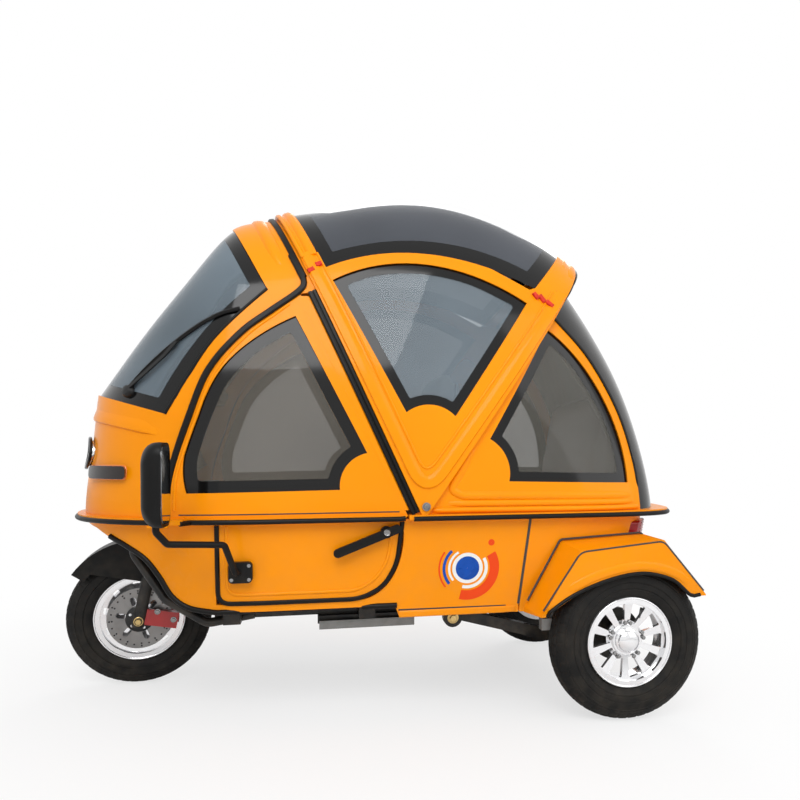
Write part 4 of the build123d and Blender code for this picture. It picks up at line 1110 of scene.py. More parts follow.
# ------------------------------------------------------------------ body trim
@dataclass
class UpperBody:
    """Seals, raised borders, hoops and hardware on the glazed upper body."""

    arch: Skin
    middle: Skin
    tail: Skin
    roof: Skin
    ridge: float = 0.0065
    seal: float = 0.018

    def build(self) -> None:
        """Adds every piece of the upper body."""
        self.arch_seal()
        self.doors()
        self.v_borders()
        self.front_hoop()
        self.rear_hoop()
        self.joints()
        self.screen()
        self.quarters()
        self.tail_seal()

    @staticmethod
    def over(skin: Skin, low: Flat, high: Flat, count: int = 96, lift: float = 0.0) -> list[Row]:
        """Rows right over the roof in the slanting plane of a line of the side view, from left to right.

        Args:
            skin: the surface that they lie on.
            low: the foot of the line, where the rows start.
            high: another point of it, further up.
            count: how many steps the half turn has.
            lift: how far above the foot the rows start, as an angle.
        Returns:
            The rows, evened out.
        """
        foot, head = deck(low[0], 0, low[1]), deck(high[0], 0, high[1])
        up = (head - foot).normalized()
        rows = []
        for k in range(count + 1):
            angle = lift + (pi - 2 * lift) * k / count
            out = Vector((0, cos(angle), 0)) + up * sin(angle)
            rows.append(skin.cast(foot + out * 1.1, -out))
        return evened(rows, 4)

    def arch_seal(self) -> None:
        """The thick rubber over the roof, round the corner and down the front of the door."""
        shape = Shape()
        half = self.seal / 2
        section = [
            (-half, -0.003), (-half, 0.006), (-half * 0.6, 0.0095), (half * 0.6, 0.0095), (half, 0.006),
            (half, -0.003)
        ]
        rows = self.over(self.arch, limb(1.330, 0.034), limb(1.60, 0.034))
        shape.strip(rows, [(a + 0.014, h) for a, h in section])
        for hand in SIDES:
            line = [
                limb(1.41, 0.020), limb(1.355, 0.019), (0.221, 1.318), (0.240, 1.285), (0.318, 1.224),
                *DOOR_FRONT
            ]
            shape.strip(self.arch.laid(line, hand, inset=0.016, shift=0.004, curved=True), section)
        shape.place("arch_seal", RUBBER, "body", Slot.BLACK_PLASTIC)
        band_shape = Shape()
        raised = [
            (-0.026, -0.003), (-0.024, 0.001), (-0.016, 0.007), (-0.004, 0.008), (0.010, 0.006),
            (0.016, 0.001), (0.017, -0.003)
        ]
        band_shape.strip(
            sunk(self.over(self.arch, limb(1.345, 0.062), limb(1.60, 0.062), lift=0.06), 0.011, 10), raised
        )
        band_shape.place("arch_flute", YELLOW, "body", Slot.BODY_YELLOW)

    def doors(self) -> None:
        """The rear lip, the raised edge and the sill line of each door, and the rubber on each pillar."""
        pillars = Shape()
        for hand, side in zip(SIDES, ("left", "right")):
            panel = Skin(f"{side}_door_panel")
            edge = Shape()
            inner = [(x - 0.014, z - 0.004) for x, z in [(0.318, 1.224), *DOOR_FRONT[:-1]]]
            edge.strip(
                panel.laid([(0.268, 1.250), *inner, (0.588, 0.645)], hand, curved=True), bead(0.009, 0.0045)
            )
            lip = self._rear_lip(panel, hand)
            edge.place(f"{side}_door_edge_bead", YELLOW, f"{side}_door", Slot.BODY_YELLOW)
            lip.place(f"{side}_door_rear_lip", YELLOW, f"{side}_door", Slot.BODY_YELLOW)
            line = Shape()
            line.strip(panel.laid([(-0.050, 0.632), (0.575, 0.632)], hand), band(0.0035, 0.0012, 0.0004))
            line.place(f"{side}_door_foot_line", LINER, f"{side}_door", Slot.BLACK_PLASTIC)
            mid = PILLAR / 2
            rows = Skin("front_arch", "canopy_sides").laid(
                [limb(0.626, mid + 0.002), limb(1.292, mid + 0.002)], hand
            )
            ribbed = [
                (-0.0125, -0.004), (-0.0125, 0.004), (-0.010, 0.006), (-0.003, 0.006), (-0.001, 0.002),
                (0.001, 0.002)
            ]
            ribbed += [(0.003, 0.006), (0.010, 0.006), (0.0125, 0.004), (0.0125, -0.004)]
            pillars.strip(rows, ribbed)
        pillars.place("pillar_seals", RUBBER, "body", Slot.BLACK_PLASTIC)

    @staticmethod
    def _rear_lip(panel: Skin, hand: int) -> Shape:
        """The door's edge where it meets the pillar, as a folded strip.

        Args:
            panel: the door's own surface.
            hand: the left side (1) or the right (-1).
        Returns:
            The strip.
        """
        shape = Shape()
        rings = []
        for k in range(41):
            z = 0.636 + 0.640 * k / 40
            start, end = limb(z, PILLAR + 0.004)[0], door_rear(z) + 0.007
            low = min(z, 1.245)
            hit, normal = panel.flank(door_rear(low) + 0.017, low, hand)
            ring = []
            for x, sink in (
                (start + 0.003, 0.012), (start, 0.003), (start + 0.003, 0.0), (end, -0.0008), (end, 0.012)
            ):
                place = deck(x, 0, z)
                lean = ((place.x - hit.x) * normal.x + (place.z - hit.z) * normal.z) / normal.y
                ring.append(Vector((place.x, hit.y - lean - hand * sink, place.z)))
            rings.append(ring)
        shape.ring_loft(rings)
        return shape

    def v_borders(self) -> None:
        """The raised borders along both limbs of the V, rounded at the foot, and the line inside them."""
        shape = Shape()
        height = self.ridge
        outer = [
            (-0.014, -0.003), (-0.013, 0.0005), (-0.004, height * 0.9), (0.002, height), (0.0215, height),
            (0.0245, height * 0.5), (0.0245, -0.003)
        ]
        for hand in SIDES:
            for inset, low, reach, section in (
                (0.0275, 0.690, 0.080, mirrored(outer, hand)), (0.0520, 0.738, 0.055, bead(0.008, 0.0035)),
            ):
                line = [limb(LIMB_TOP, -inset * 1.1), (-0.1285, low), rear_limb(REAR_LIMB_TOP, inset * 1.2)]
                shape.strip(self.middle.laid(line, hand, inset=0.004, radius=reach, step=0.014), section)
        shape.place("v_borders", YELLOW, "body", Slot.BODY_YELLOW)

    def front_hoop(self) -> None:
        """The grooved section of the front hoop."""
        shape = Shape()
        section = [
            (-0.027, -0.004), (-0.026, 0.004), (-0.022, 0.0075), (-0.015, 0.0075), (-0.010, 0.001),
            (-0.005, 0.0005), (0.000, 0.005), (0.005, 0.007), (0.016, 0.007), (0.022, 0.004),
            (0.024, -0.004),
        ]
        shape.strip(self.over(self.roof, limb(1.405, -0.029), limb(1.60, -0.029)), section)
        shape.place("front_hoop_section", YELLOW, "body", Slot.BODY_YELLOW)

    def rear_hoop(self) -> None:
        """The stepped section of the rear hoop and the rubber on its rear edge."""
        rows = evened(self.over(Skin("roof_hoops"), rear_limb(1.325, 0.036), rear_limb(1.60, 0.036)), 9)
        shape = Shape()
        section = [
            (-0.034, -0.004), (-0.033, 0.003), (-0.028, 0.0065), (-0.019, 0.0065), (-0.014, 0.001),
            (-0.010, 0.001), (-0.004, 0.0065), (0.004, 0.010), (0.014, 0.011), (0.024, 0.008),
            (0.029, 0.000), (0.029, -0.006),
        ]
        shape.strip(rows, section)
        shape.place("rear_hoop_section", YELLOW, "body", Slot.BODY_YELLOW)
        seal = Shape()
        seal.strip(rows, [(0.027, -0.018), (0.028, 0.002), (0.032, 0.007), (0.038, 0.004), (0.040, -0.018)])
        seal.place("rear_hoop_seal", RUBBER, "body", Slot.BLACK_PLASTIC)

    def joints(self) -> None:
        """The bits of tape where hoops and V panels meet, and the bolt at each foot."""
        tape, bolts = Shape(), Shape()
        for hand in SIDES:
            for line in (
                [(0.213, 1.352), (0.196, 1.362)],
                [(0.191, 1.374), (0.173, 1.381)],
                [(-0.492, 1.318), (-0.506, 1.300)],
                [(-0.512, 1.312), (-0.528, 1.290)],
                [(-0.534, 1.294), (-0.556, 1.276)],
            ):
                rows = self.middle.laid(line, hand, step=0.004)
                tape.strip(rows, [(a, h + self.ridge) for a, h in band(0.013, 0.0016, 0.0003, 0.008)])
            point, normal = self.middle.flank(-0.129, 0.646, hand)
            bolt(bolts, point + normal * self.ridge, normal, 0.0085)
        tape.place("joint_tape", TAPE, "body", Slot.RED_LENS)
        bolts.place("v_foot_bolts", CHROME, "body", Slot.POLISHED_ALLOY)

    def screen(self) -> None:
        """The rubber round the windshield and its wiper."""
        shape = Shape()
        for hand in SIDES:
            side = [(0.615, 0.921), (0.560, 1.015), (0.492, 1.125), (0.418, 1.210), (0.332, 1.296)]
            rows = self.arch.laid(side, hand, inset=-0.016, shift=-0.001, curved=True)
            shape.strip(rows, bead(0.009, 0.0045))
        shape.place("screen_seal", RUBBER, "body", Slot.BLACK_PLASTIC)
        glass = Skin("windshield_glass")
        wiper, blade = Shape(), Shape()
        sweep = [(0.325, 0.990), (0.352, 1.04), (0.368, 1.09), (0.372, 1.13)]
        path = []
        for y, z in sweep:
            hit, normal = glass.cast(deck(1.3, y, z), from_deck_axis(-1, 0, 0))
            path.append((hit, normal))
        wiper.strip([(p + n * 0.014, n) for p, n in path], band(0.012, 0.003, 0.001))
        hit, normal = path[0]
        wiper.turned(
            stand(hit - normal * 0.002, normal),
            [(0.020, 0.0), (0.020, 0.010), (0.014, 0.019), (0.004, 0.021)], 24
        )
        rows = []
        for k in range(24):
            y, z = 0.325 + 0.075 * k / 23, 1.005 + 0.225 * k / 23
            hit, normal = glass.cast(deck(1.3, y, z), from_deck_axis(-1, 0, 0))
            rows.append((hit, normal))
        blade.strip(
            evened(rows), [(-0.003, 0.0005), (-0.006, 0.009), (0.0, 0.013), (0.006, 0.009), (0.003, 0.0005)]
        )
        wiper.place("wiper_arm", FRAME_BLACK, "body", Slot.FRAME_BLACK)
        blade.place("wiper_blade", RUBBER, "body", Slot.BLACK_PLASTIC)

    def quarters(self) -> None:
        """The raised border round each rear quarter's window field and the bulges along its foot."""
        shape = Shape()
        step = [
            (-0.010, -0.003), (-0.009, 0.0005), (-0.001, 0.006), (0.005, 0.0065), (0.013, 0.004),
            (0.017, 0.0005), (0.018, -0.003)
        ]
        for hand in SIDES:
            line = [(-0.290, 0.828), (-0.212, 0.696), (-0.245, 0.680), (-0.818, 0.674)]
            rows = self.tail.laid(line, hand, radius=0.05)
            shape.strip(sunk(rows), mirrored(step, hand))
            shape.strip(sunk(self.tail.laid([(-0.190, 0.653), (-0.822, 0.650)], hand)), bead(0.020, 0.007))
            shape.strip(
                sunk(self.tail.laid([(-0.155, 0.633), (-0.826, 0.631)], hand), 0.005, 2), bead(0.018, 0.009)
            )
        shape.place("quarter_borders", YELLOW, "body", Slot.BODY_YELLOW)

    def tail_seal(self) -> None:
        """The rubber between the rear cover and the quarter panels."""
        seal = Shape()
        for hand in SIDES:
            line = [(-0.574, 1.246), (-0.690, 1.122), (-0.782, 0.950), (-0.826, 0.780), (-0.838, 0.628)]
            seal.strip(self.tail.laid(line, hand, inset=-0.012, curved=True), band(0.009, 0.004, 0.001))
        seal.place("rear_cover_seal", RUBBER, "body", Slot.BLACK_PLASTIC)


@dataclass
class LowerBody:
    """Belt trim, door outlines, nose, fenders and decals."""

    tub: Skin
    nose: Skin
    fender: Skin
    belt_radius: float = 0.0075
    belt_z: float = 0.6105
    lamp_y: float = 0.150
    lamp_z: float = 0.809
    lamp_half_width: float = 0.060
    lamp_half_height: float = 0.045
    lamp_steps: int = 40

    def build(self) -> None:
        """Adds every piece of the lower body."""
        self.belt_trim()
        self.door_seals()
        self.arch_trim()
        self.fender_seams()
        self.nose_crease()
        self.headlamps()
        self.signals()
        self.decals()
        self.underside()

    def belt_trim(self) -> None:
        """The rubber edge round the belt flange and along each door's ledge."""
        flange = Skin("belt_flange")
        shape = Shape()
        for centre_x, ahead in ((0.3, 1), (-0.62, -1)):
            path = []
            for k in range(81):
                angle = pi * (k / 80 - 0.5)
                way = from_deck_axis(cos(angle) * ahead, sin(angle), 0)
                start = deck(centre_x, 0, self.belt_z) + way * 1.3
                hit, _, _, _ = flange.tree.ray_cast(start, -way)
                if hit is not None:
                    path.append(hit)
            if ahead > 0:
                path = [p for p in path if p.x > 0.655]
            else:
                path = [
                    deck(-0.092, -0.489, self.belt_z), *[p for p in path if p.x < -0.55],
                    deck(-0.092, 0.489, self.belt_z)
                ]
            shape.tube(smooth_path(path, 0.02), self.belt_radius, 12)
        shape.place("belt_edge", RUBBER, "body", Slot.BLACK_PLASTIC)
        for hand, side in zip(SIDES, ("left", "right")):
            ledge = Shape()
            skin = Skin(f"{side}_door_panel")
            path = []
            for k in range(32):
                x = -0.068 + 0.63 * k / 31
                path.append(
                    skin.cast(deck(x, hand * 0.8, self.belt_z + 0.001), Vector((0, -hand * 0.3, 0)))[0]
                )
            ledge.tube(path, self.belt_radius, 12)
            ledge.place(f"{side}_ledge_edge", RUBBER, f"{side}_door", Slot.BLACK_PLASTIC)

    def door_seals(self) -> None:
        """The black outline of each lower door and the pressed line inside it."""
        for hand, side in zip(SIDES, ("left", "right")):
            skin = Skin(f"{side}_door_panel")
            outline = [
                (0.472, 0.600), (0.472, 0.370), (0.065, 0.370), (-0.004, 0.404), (-0.044, 0.472),
                (-0.060, 0.600)
            ]
            seal = Shape()
            rows = skin.laid(outline, hand, inset=-0.012, radius=0.036)
            seal.strip(rows, band(0.013, 0.0065, 0.003))
            seal.place(f"{side}_door_seal", RUBBER, f"{side}_door", Slot.BLACK_PLASTIC)
            inner = [
                (0.446, 0.596), (0.446, 0.396), (0.074, 0.396), (0.020, 0.428), (-0.016, 0.482),
                (-0.030, 0.585)
            ]
            line = Shape()
            line.strip(skin.laid(inner, hand, radius=0.035), bead(0.010, 0.0035))
            line.place(f"{side}_door_bead", YELLOW, f"{side}_door", Slot.BODY_YELLOW)

    def arch_trim(self) -> None:
        """The rubber from the front arch along the sill, the seams behind the door and the yellow sill."""
        lip, seams, sill = Shape(), Shape(), Shape()
        line = [
            (0.790, 0.562), (0.735, 0.535), (0.680, 0.500), (0.642, 0.452), (0.606, 0.392), (0.563, 0.360),
            (0.510, 0.348), (0.450, 0.345), (0.200, 0.345), (-0.045, 0.345),
        ]
        for hand in SIDES:
            rows = self.tub.laid(line, hand, inset=-0.022, curved=True)
            lip.tube([p for p, _ in rows], 0.0085, 12)
            seam = self.tub.laid([(-0.460, 0.604), (-0.427, 0.333)], hand, inset=0.012)
            seams.strip(seam, band(0.008, 0.002, 0.0006, 0.006))
            seams.strip(self.tub.laid([(-0.050, 0.330), (-0.428, 0.328)], hand), band(0.0045, 0.001, 0.0003))
            rows = self.tub.laid([(-0.052, 0.317), (-0.428, 0.317)], hand)
            sill.strip(
                rows,
                [
                    (-0.0105, -0.004), (-0.0105, 0.003), (-0.007, 0.006), (0.007, 0.006), (0.0105, 0.003),
                    (0.0105, -0.004)
                ]
            )
        lip.place("arch_lip", RUBBER, "body", Slot.BLACK_PLASTIC)
        seams.place("panel_seams", LINER, "body", Slot.BLACK_PLASTIC)
        sill.place("sill_strip", YELLOW, "body", Slot.BODY_YELLOW)

    def fender_seams(self) -> None:
        """The dark seams on the fenders' edges, the rubber round the arches and the raised band above."""
        seams, lip, raised = Shape(), Shape(), Shape()
        arch = [
            (-0.482, 0.318), (-0.560, 0.368), (-0.640, 0.402), (-0.720, 0.424), (-0.791, 0.432),
            (-0.850, 0.424), (-0.905, 0.403), (-0.957, 0.358), (-0.990, 0.358),
        ]
        upper = [
            (-0.545, 0.385), (-0.630, 0.424), (-0.715, 0.447), (-0.790, 0.455), (-0.855, 0.446),
            (-0.915, 0.424), (-0.965, 0.385)
        ]
        for hand in SIDES:
            outer = [(-0.474, 0.330), (-0.594, 0.504), (-0.866, 0.530), (-1.002, 0.370)]
            seams.strip(self.fender.laid(outer, hand, inset=0.010, radius=0.02), band(0.005, 0.0015, 0.0005))
            rows = self.fender.laid(arch, hand, inset=-0.010, curved=True)
            lip.tube([p for p, _ in rows], 0.006, 12)
            rows = sunk(self.fender.laid(upper, hand, curved=True), 0.005, 5)
            raised.strip(
                rows,
                [
                    (-0.016, -0.002), (-0.014, 0.001), (-0.008, 0.0035), (0.008, 0.0035), (0.014, 0.001),
                    (0.016, -0.002)
                ]
            )
            top = [(-0.449, 0.345), (-0.556, 0.533), (-0.828, 0.548), (-0.950, 0.415)]
            path = [deck(x, hand * 0.463, z + 0.001) for x, z in top]
            rows = [(p, Vector((0, hand * 0.5, 1)).normalized()) for p in filleted(path, 0.01, 0.02)]
            seams.strip(rows, band(0.006, 0.0025, 0.001))
        seams.place("fender_seams", LINER, "body", Slot.BLACK_PLASTIC)
        lip.place("fender_arch_lips", RUBBER, "body", Slot.BLACK_PLASTIC)
        raised.place("fender_arch_bands", YELLOW, "body", Slot.BODY_YELLOW)

    def nose_crease(self) -> None:
        """The overhanging step right across the nose, under the windshield."""
        shape = Shape()
        rows = []
        widest = radians(56.5)
        for k in range(73):
            angle = widest * (k / 36 - 1)
            height = 0.918 - 0.061 * (1 - cos(angle)) / (1 - cos(widest))
            way = from_deck_axis(cos(angle), -sin(angle), 0)
            rows.append(self.nose.cast(deck(0.35, 0, height) + way * 1.2, -way))
        shape.strip(
            sunk(evened(rows), 0.010),
            [
                (-0.006, -0.003), (-0.005, 0.002), (0.000, 0.007), (0.008, 0.0075), (0.022, 0.004),
                (0.036, 0.000), (0.038, -0.003)
            ]
        )
        shape.place("nose_crease", YELLOW, "body", Slot.BODY_YELLOW)

    def headlamps(self) -> None:
        """Each lamp's black rim, mirrored bowl, projector and clear cover."""
        rim, bowl, core, lens = Shape(), Shape(), Shape(), Shape()
        lamp = Skin("headlamps")
        for hand in SIDES:
            ring = [self._lamp_row(lamp, hand, 1.0, 2 * pi * k / 48) for k in range(48)]
            rim.strip(ring, band(0.012, 0.007, 0.003), closed=True)
            bowl.ring_loft(
                [
                    self._lamp_ring(lamp, hand, share, back)
                    for share, back in ((0.93, 0.004), (0.86, 0.022), (0.66, 0.046), (0.40, 0.060))
                ],
                caps=False
            )
            centre, normal = self._lamp_row(lamp, hand, 0.0, 0.0)
            dome(core, centre - normal * 0.055, normal, 0.027, 0.020)
            lens.ring_loft(
                [
                    self._lamp_ring(lamp, hand, share, 0.0 if share > 0.9 else -0.002)
                    for share in (0.98, 0.8, 0.55, 0.28, 0.02)
                ],
                caps=False
            )
        rim.place("headlamp_rims", BLACK_GLOSS, "body", Slot.GLOSS_BLACK)
        bowls = bowl.place("headlamp_bowls", REFLECTOR, "body", Slot.CLEAR_LENS)
        core.place("headlamp_cores", LAMP_CORE, "body", Slot.CLEAR_LENS)
        lenses = lens.place("headlamp_lenses", CLEAR, "body", Slot.CLEAR_LENS)
        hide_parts("headlamps")
        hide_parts("headlamps")

    def _lamp_row(self, lamp: Skin, hand: int, share: float, angle: float) -> Row:
        """The lens's surface and normal at an angle and a share of the way to its edge.

        Args:
            lamp: the lamps' surface.
            hand: the left lamp (1) or the right (-1).
            share: how far out, from 0 to 1.
            angle: the angle round the lamp.
        Returns:
            The point and its normal.
        """
        y = hand * self.lamp_y + self.lamp_half_width * share * cos(angle)
        z = self.lamp_z + self.lamp_half_height * share * sin(angle)
        return lamp.cast(deck(1.2, y, z), from_deck_axis(-0.25, 0, 0))

    def _lamp_ring(self, lamp: Skin, hand: int, share: float, back: float) -> list[Vector]:
        """A ring of the headlamp's opening, on its lens or set back from it.

        Args:
            lamp: the lamps' surface.
            hand: the left lamp (1) or the right (-1).
            share: how far out, from 0 to 1.
            back: how far behind the lens.
        Returns:
            The ring's points.
        """
        angles = [2 * pi * k / self.lamp_steps for k in range(self.lamp_steps)]
        return [self._lamp_row(lamp, hand, share, a)[0] - from_deck_axis(1, 0, 0) * back for a in angles]

    def signals(self) -> None:
        """The amber seat under each smoked turn signal."""
        shape = Shape()
        for hand in SIDES:
            rows = self.nose.laid(
                [
                    (0.80, 0.733), (0.868, 0.733), (0.868, 0.771), (0.732, 0.771), (0.732, 0.733),
                    (0.80, 0.733)
                ],
                hand, radius=0.010, step=0.006
            )
            shape.strip(rows[:-1], bead(0.005, 0.003), closed=True)
        shape.place("signal_seats", AMBER, "body", Slot.AMBER_LENS)

    def decals(self) -> None:
        """A plain design of discs, arcs and stripes behind the doors."""
        shapes = {DECAL_BLUE: Shape(), DECAL_WHITE: Shape(), DECAL_ORANGE: Shape()}
        x, z = -0.262, 0.452
        parts = (
            (DECAL_ORANGE, x, z, 0.070, 0.100, 150, 285, 0.0006),
            (DECAL_WHITE, x, z, 0.054, 0.064, 150, 285, 0.0006),
            (DECAL_WHITE, x, z, 0.0, 0.048, 0, 360, 0.0006), (DECAL_BLUE, x, z, 0.0, 0.037, 0, 360, 0.0010),
            (DECAL_WHITE, x, z, 0.054, 0.061, -40, 60, 0.0006),
            (DECAL_BLUE, x, z, 0.069, 0.078, -40, 48, 0.0006),
            (DECAL_ORANGE, x, z, 0.086, 0.091, -40, 36, 0.0006),
            (DECAL_ORANGE, x - 0.074, z + 0.078, 0.0, 0.010, 0, 360, 0.0006),
        )
        for finish, cx, cz, inner, outer, start, end, lift in parts:
            for hand in SIDES:
                rings = []
                for k in range(41):
                    angle = radians(start + (end - start) * k / 40)
                    ring = []
                    for j in range(5):
                        r = max(0.0005, inner + (outer - inner) * j / 4)
                        hit, normal = self.tub.flank(cx + r * cos(angle), cz + r * sin(angle), hand)
                        ring.append(hit + normal * lift)
                    rings.append(ring)
                shapes[finish].ring_loft(rings, caps=False, wrap_ring=False)
        for finish, shape in shapes.items():
            shape.place(finish.name, finish, "body", Slot.BODY_YELLOW)

    def underside(self) -> None:
        """The tray, castings and hardware under the sill."""
        casting, bolts, tray = Shape(), Shape(), Shape()
        for hand in SIDES:
            outline = [
                deck(x, hand * 0.440, z)
                for x, z in ((-0.526, 0.252), (-0.526, 0.287), (-0.493, 0.289), (-0.493, 0.252))
            ]
            casting.plate(outline, Vector((0, hand * 0.030, 0)))
            bolt(bolts, deck(-0.230, hand * 0.3705, 0.283), Vector((0, hand, 0)), 0.012)
        tray_path = [deck(0.185, 0, 0.266), deck(-0.112, 0, 0.266)]
        section = [
            (-0.330, 0.018), (-0.330, -0.006), (-0.322, -0.010), (0.322, -0.010), (0.330, -0.006),
            (0.330, 0.018), (0.324, 0.018), (0.324, -0.004), (-0.324, -0.004), (-0.324, 0.018)
        ]
        tray.strip([(p, Vector((0, 0, 1))) for p in tray_path], section)
        casting.place("step_castings", GREY_CASTING, "body", Slot.FRAME_BLACK)
        bolts.place("pivot_bolts", BRASS, "body", Slot.POLISHED_ALLOY)
        tray.place("under_tray", GREY_CASTING, "body", Slot.FRAME_BLACK)


# ------------------------------------------------------------------ wheels
@dataclass(frozen=True)
class Wheel:
    """One wheel: where it stands, its tyre and its hub dress."""

    name: str
    body: str
    tyre_node: str
    at: Matrix
    radius: float
    width: float
    lip_half: float
    hand: int = 1
    front: bool = False

    def build(self) -> None:
        """Adds the tyre with its tread and the dressing of the hub."""
        self.tyre()
        self.hub()

    def _point(self, across: float, radius: float, angle: float) -> Vector:
        """A point of the wheel, from its place across the rim, its radius and its angle."""
        return self.at @ Vector((radius * cos(angle), across, radius * sin(angle)))

    def tyre(self) -> None:
        """The tyre, with its beads, raised sidewall rings, shoulder lines and tread blocks."""
        half = self.width / 2
        bead_y = self.lip_half - 0.006
        seat = 0.1275
        tread = self.radius
        side = [
            (bead_y, seat), (bead_y, 0.1425), (bead_y + 0.35 * (half - bead_y), 0.150),
            (half - 0.004, 0.165), (half - 0.0045, 0.1685), (half - 0.001, 0.1715), (half - 0.0005, 0.186),
            (half - 0.002, 0.188), (half - 0.0005, 0.190), (half - 0.001, tread - 0.046),
            (half - 0.003, tread - 0.040), (half - 0.002, tread - 0.037), (half - 0.0055, tread - 0.031),
            (half - 0.0045, tread - 0.029), (half - 0.009, tread - 0.023),
        ]
        flat = []
        for k in range(27):
            t = k / 26 * 2 - 1
            edge_y = half - 0.010
            flat.append((-t * edge_y, tread - 0.021 * abs(t) ** 2.6))
        section = [*side, *flat, *[(-y, r) for y, r in reversed(side)]]
        first, last = len(side), len(side) + len(flat) - 1
        steps = 288
        pitch = 6
        rings = []
        for i in range(steps):
            angle = 2 * pi * i / steps
            ring = []
            for j, (y, r) in enumerate(section):
                drop = 0.0
                if first <= j <= last:
                    lane = j - first
                    if lane in (4, 9, 13, 17, 22):
                        drop = 0.0035
                    elif (i + (lane // 5) * 2) % pitch == 0:
                        drop = 0.0028
                elif first - 4 <= j < first or last < j <= last + 4:
                    drop = 0.0016 if i % 3 == 0 else 0.0
                ring.append(self._point(y, r - drop, angle))
            rings.append(ring)
        shape = Shape()
        shape.ring_loft(rings, closed=True)
        made = shape.place(f"{self.name}_tyre", TYRE, self.body, Slot.TYRE, sharp=28.0)
        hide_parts(self.tyre_node)

    def hub(self) -> None:
        """Rim edge, hub cap, nuts and valve."""
        out = self.hand
        chrome, dark, brass = Shape(), Shape(), Shape()
        face = Vector((0, out, 0))
        normal = (self.at.to_3x3() @ face).normalized()
        for hand in ((out,) if not self.front else SIDES):
            way = (self.at.to_3x3() @ Vector((0, hand, 0))).normalized()
            for ahead, radius, width in ((0.001, 0.1385, 0.006), (-0.004, 0.1290, 0.004)):
                across = hand * (self.lip_half + ahead)
                ring = [self._point(across, radius, 2 * pi * k / 96) for k in range(96)]
                chrome.strip([(p, way) for p in ring], bead(width, width / 2), closed=True)
        if self.front:
            self._front_hub(chrome, dark)
        else:
            at = stand(self._point(out * 0.022, 0, 0), normal)
            chrome.turned(
                at,
                [
                    (0.040, 0.0), (0.039, 0.006), (0.034, 0.009), (0.033, 0.016), (0.026, 0.022),
                    (0.012, 0.025)
                ],
                40
            )
            for k in range(5):
                for offset in (-0.16, 0.16):
                    a = 2 * pi * k / 5 + pi / 2 + offset
                    bolt(brass, self._point(out * 0.0215, 0.056, a), normal, 0.0055, 1.25)
            valve = stand(
                self._point(out * 0.018, 0.108, 2.0),
                (normal * 0.5 + (self.at.to_3x3() @ Vector((-cos(2.0), 0, -sin(2.0))))).normalized()
            )
            dark.turned(valve, [(0.0045, -0.004), (0.004, 0.020), (0.0028, 0.022), (0.0028, 0.030)], 12)
        chrome.place(f"{self.name}_rim_edge", ALLOY, self.body, Slot.POLISHED_ALLOY)
        if dark.verts:
            dark.place(f"{self.name}_hub_dark", BLACK_GLOSS, self.body, Slot.GLOSS_BLACK)
        if brass.verts:
            brass.place(
                f"{self.name}_hub_nuts", CHROME if not self.front else BRASS, self.body, Slot.POLISHED_ALLOY
            )

    def _front_hub(self, chrome: Shape, dark: Shape) -> None:
        """The drilled disc's holes and the black hub cover with its bolts.

        Args:
            chrome: what the bolts are added to.
            dark: what the cover and the holes are added to.
        """
        turn = self.at.to_3x3()
        normal = (turn @ Vector((0, 1, 0))).normalized()
        face = 0.0525
        for k in range(24):
            a = 2 * pi * k / 24
            for r in ((0.084, 0.092) if k % 2 else (0.088,)):
                dome(dark, self._point(face, r, a), normal, 0.0028, 0.0002)
        cover = stand(self.at @ Vector((0, face, 0)), normal)
        dark.turned(cover, [(0.044, -0.002), (0.044, 0.004), (0.040, 0.0065), (0.018, 0.008)], 40)
        for k in range(5):
            a = 2 * pi * k / 5 + 0.3
            bolt(chrome, self._point(face + 0.0062, 0.032, a), normal, 0.0035, 1.3)


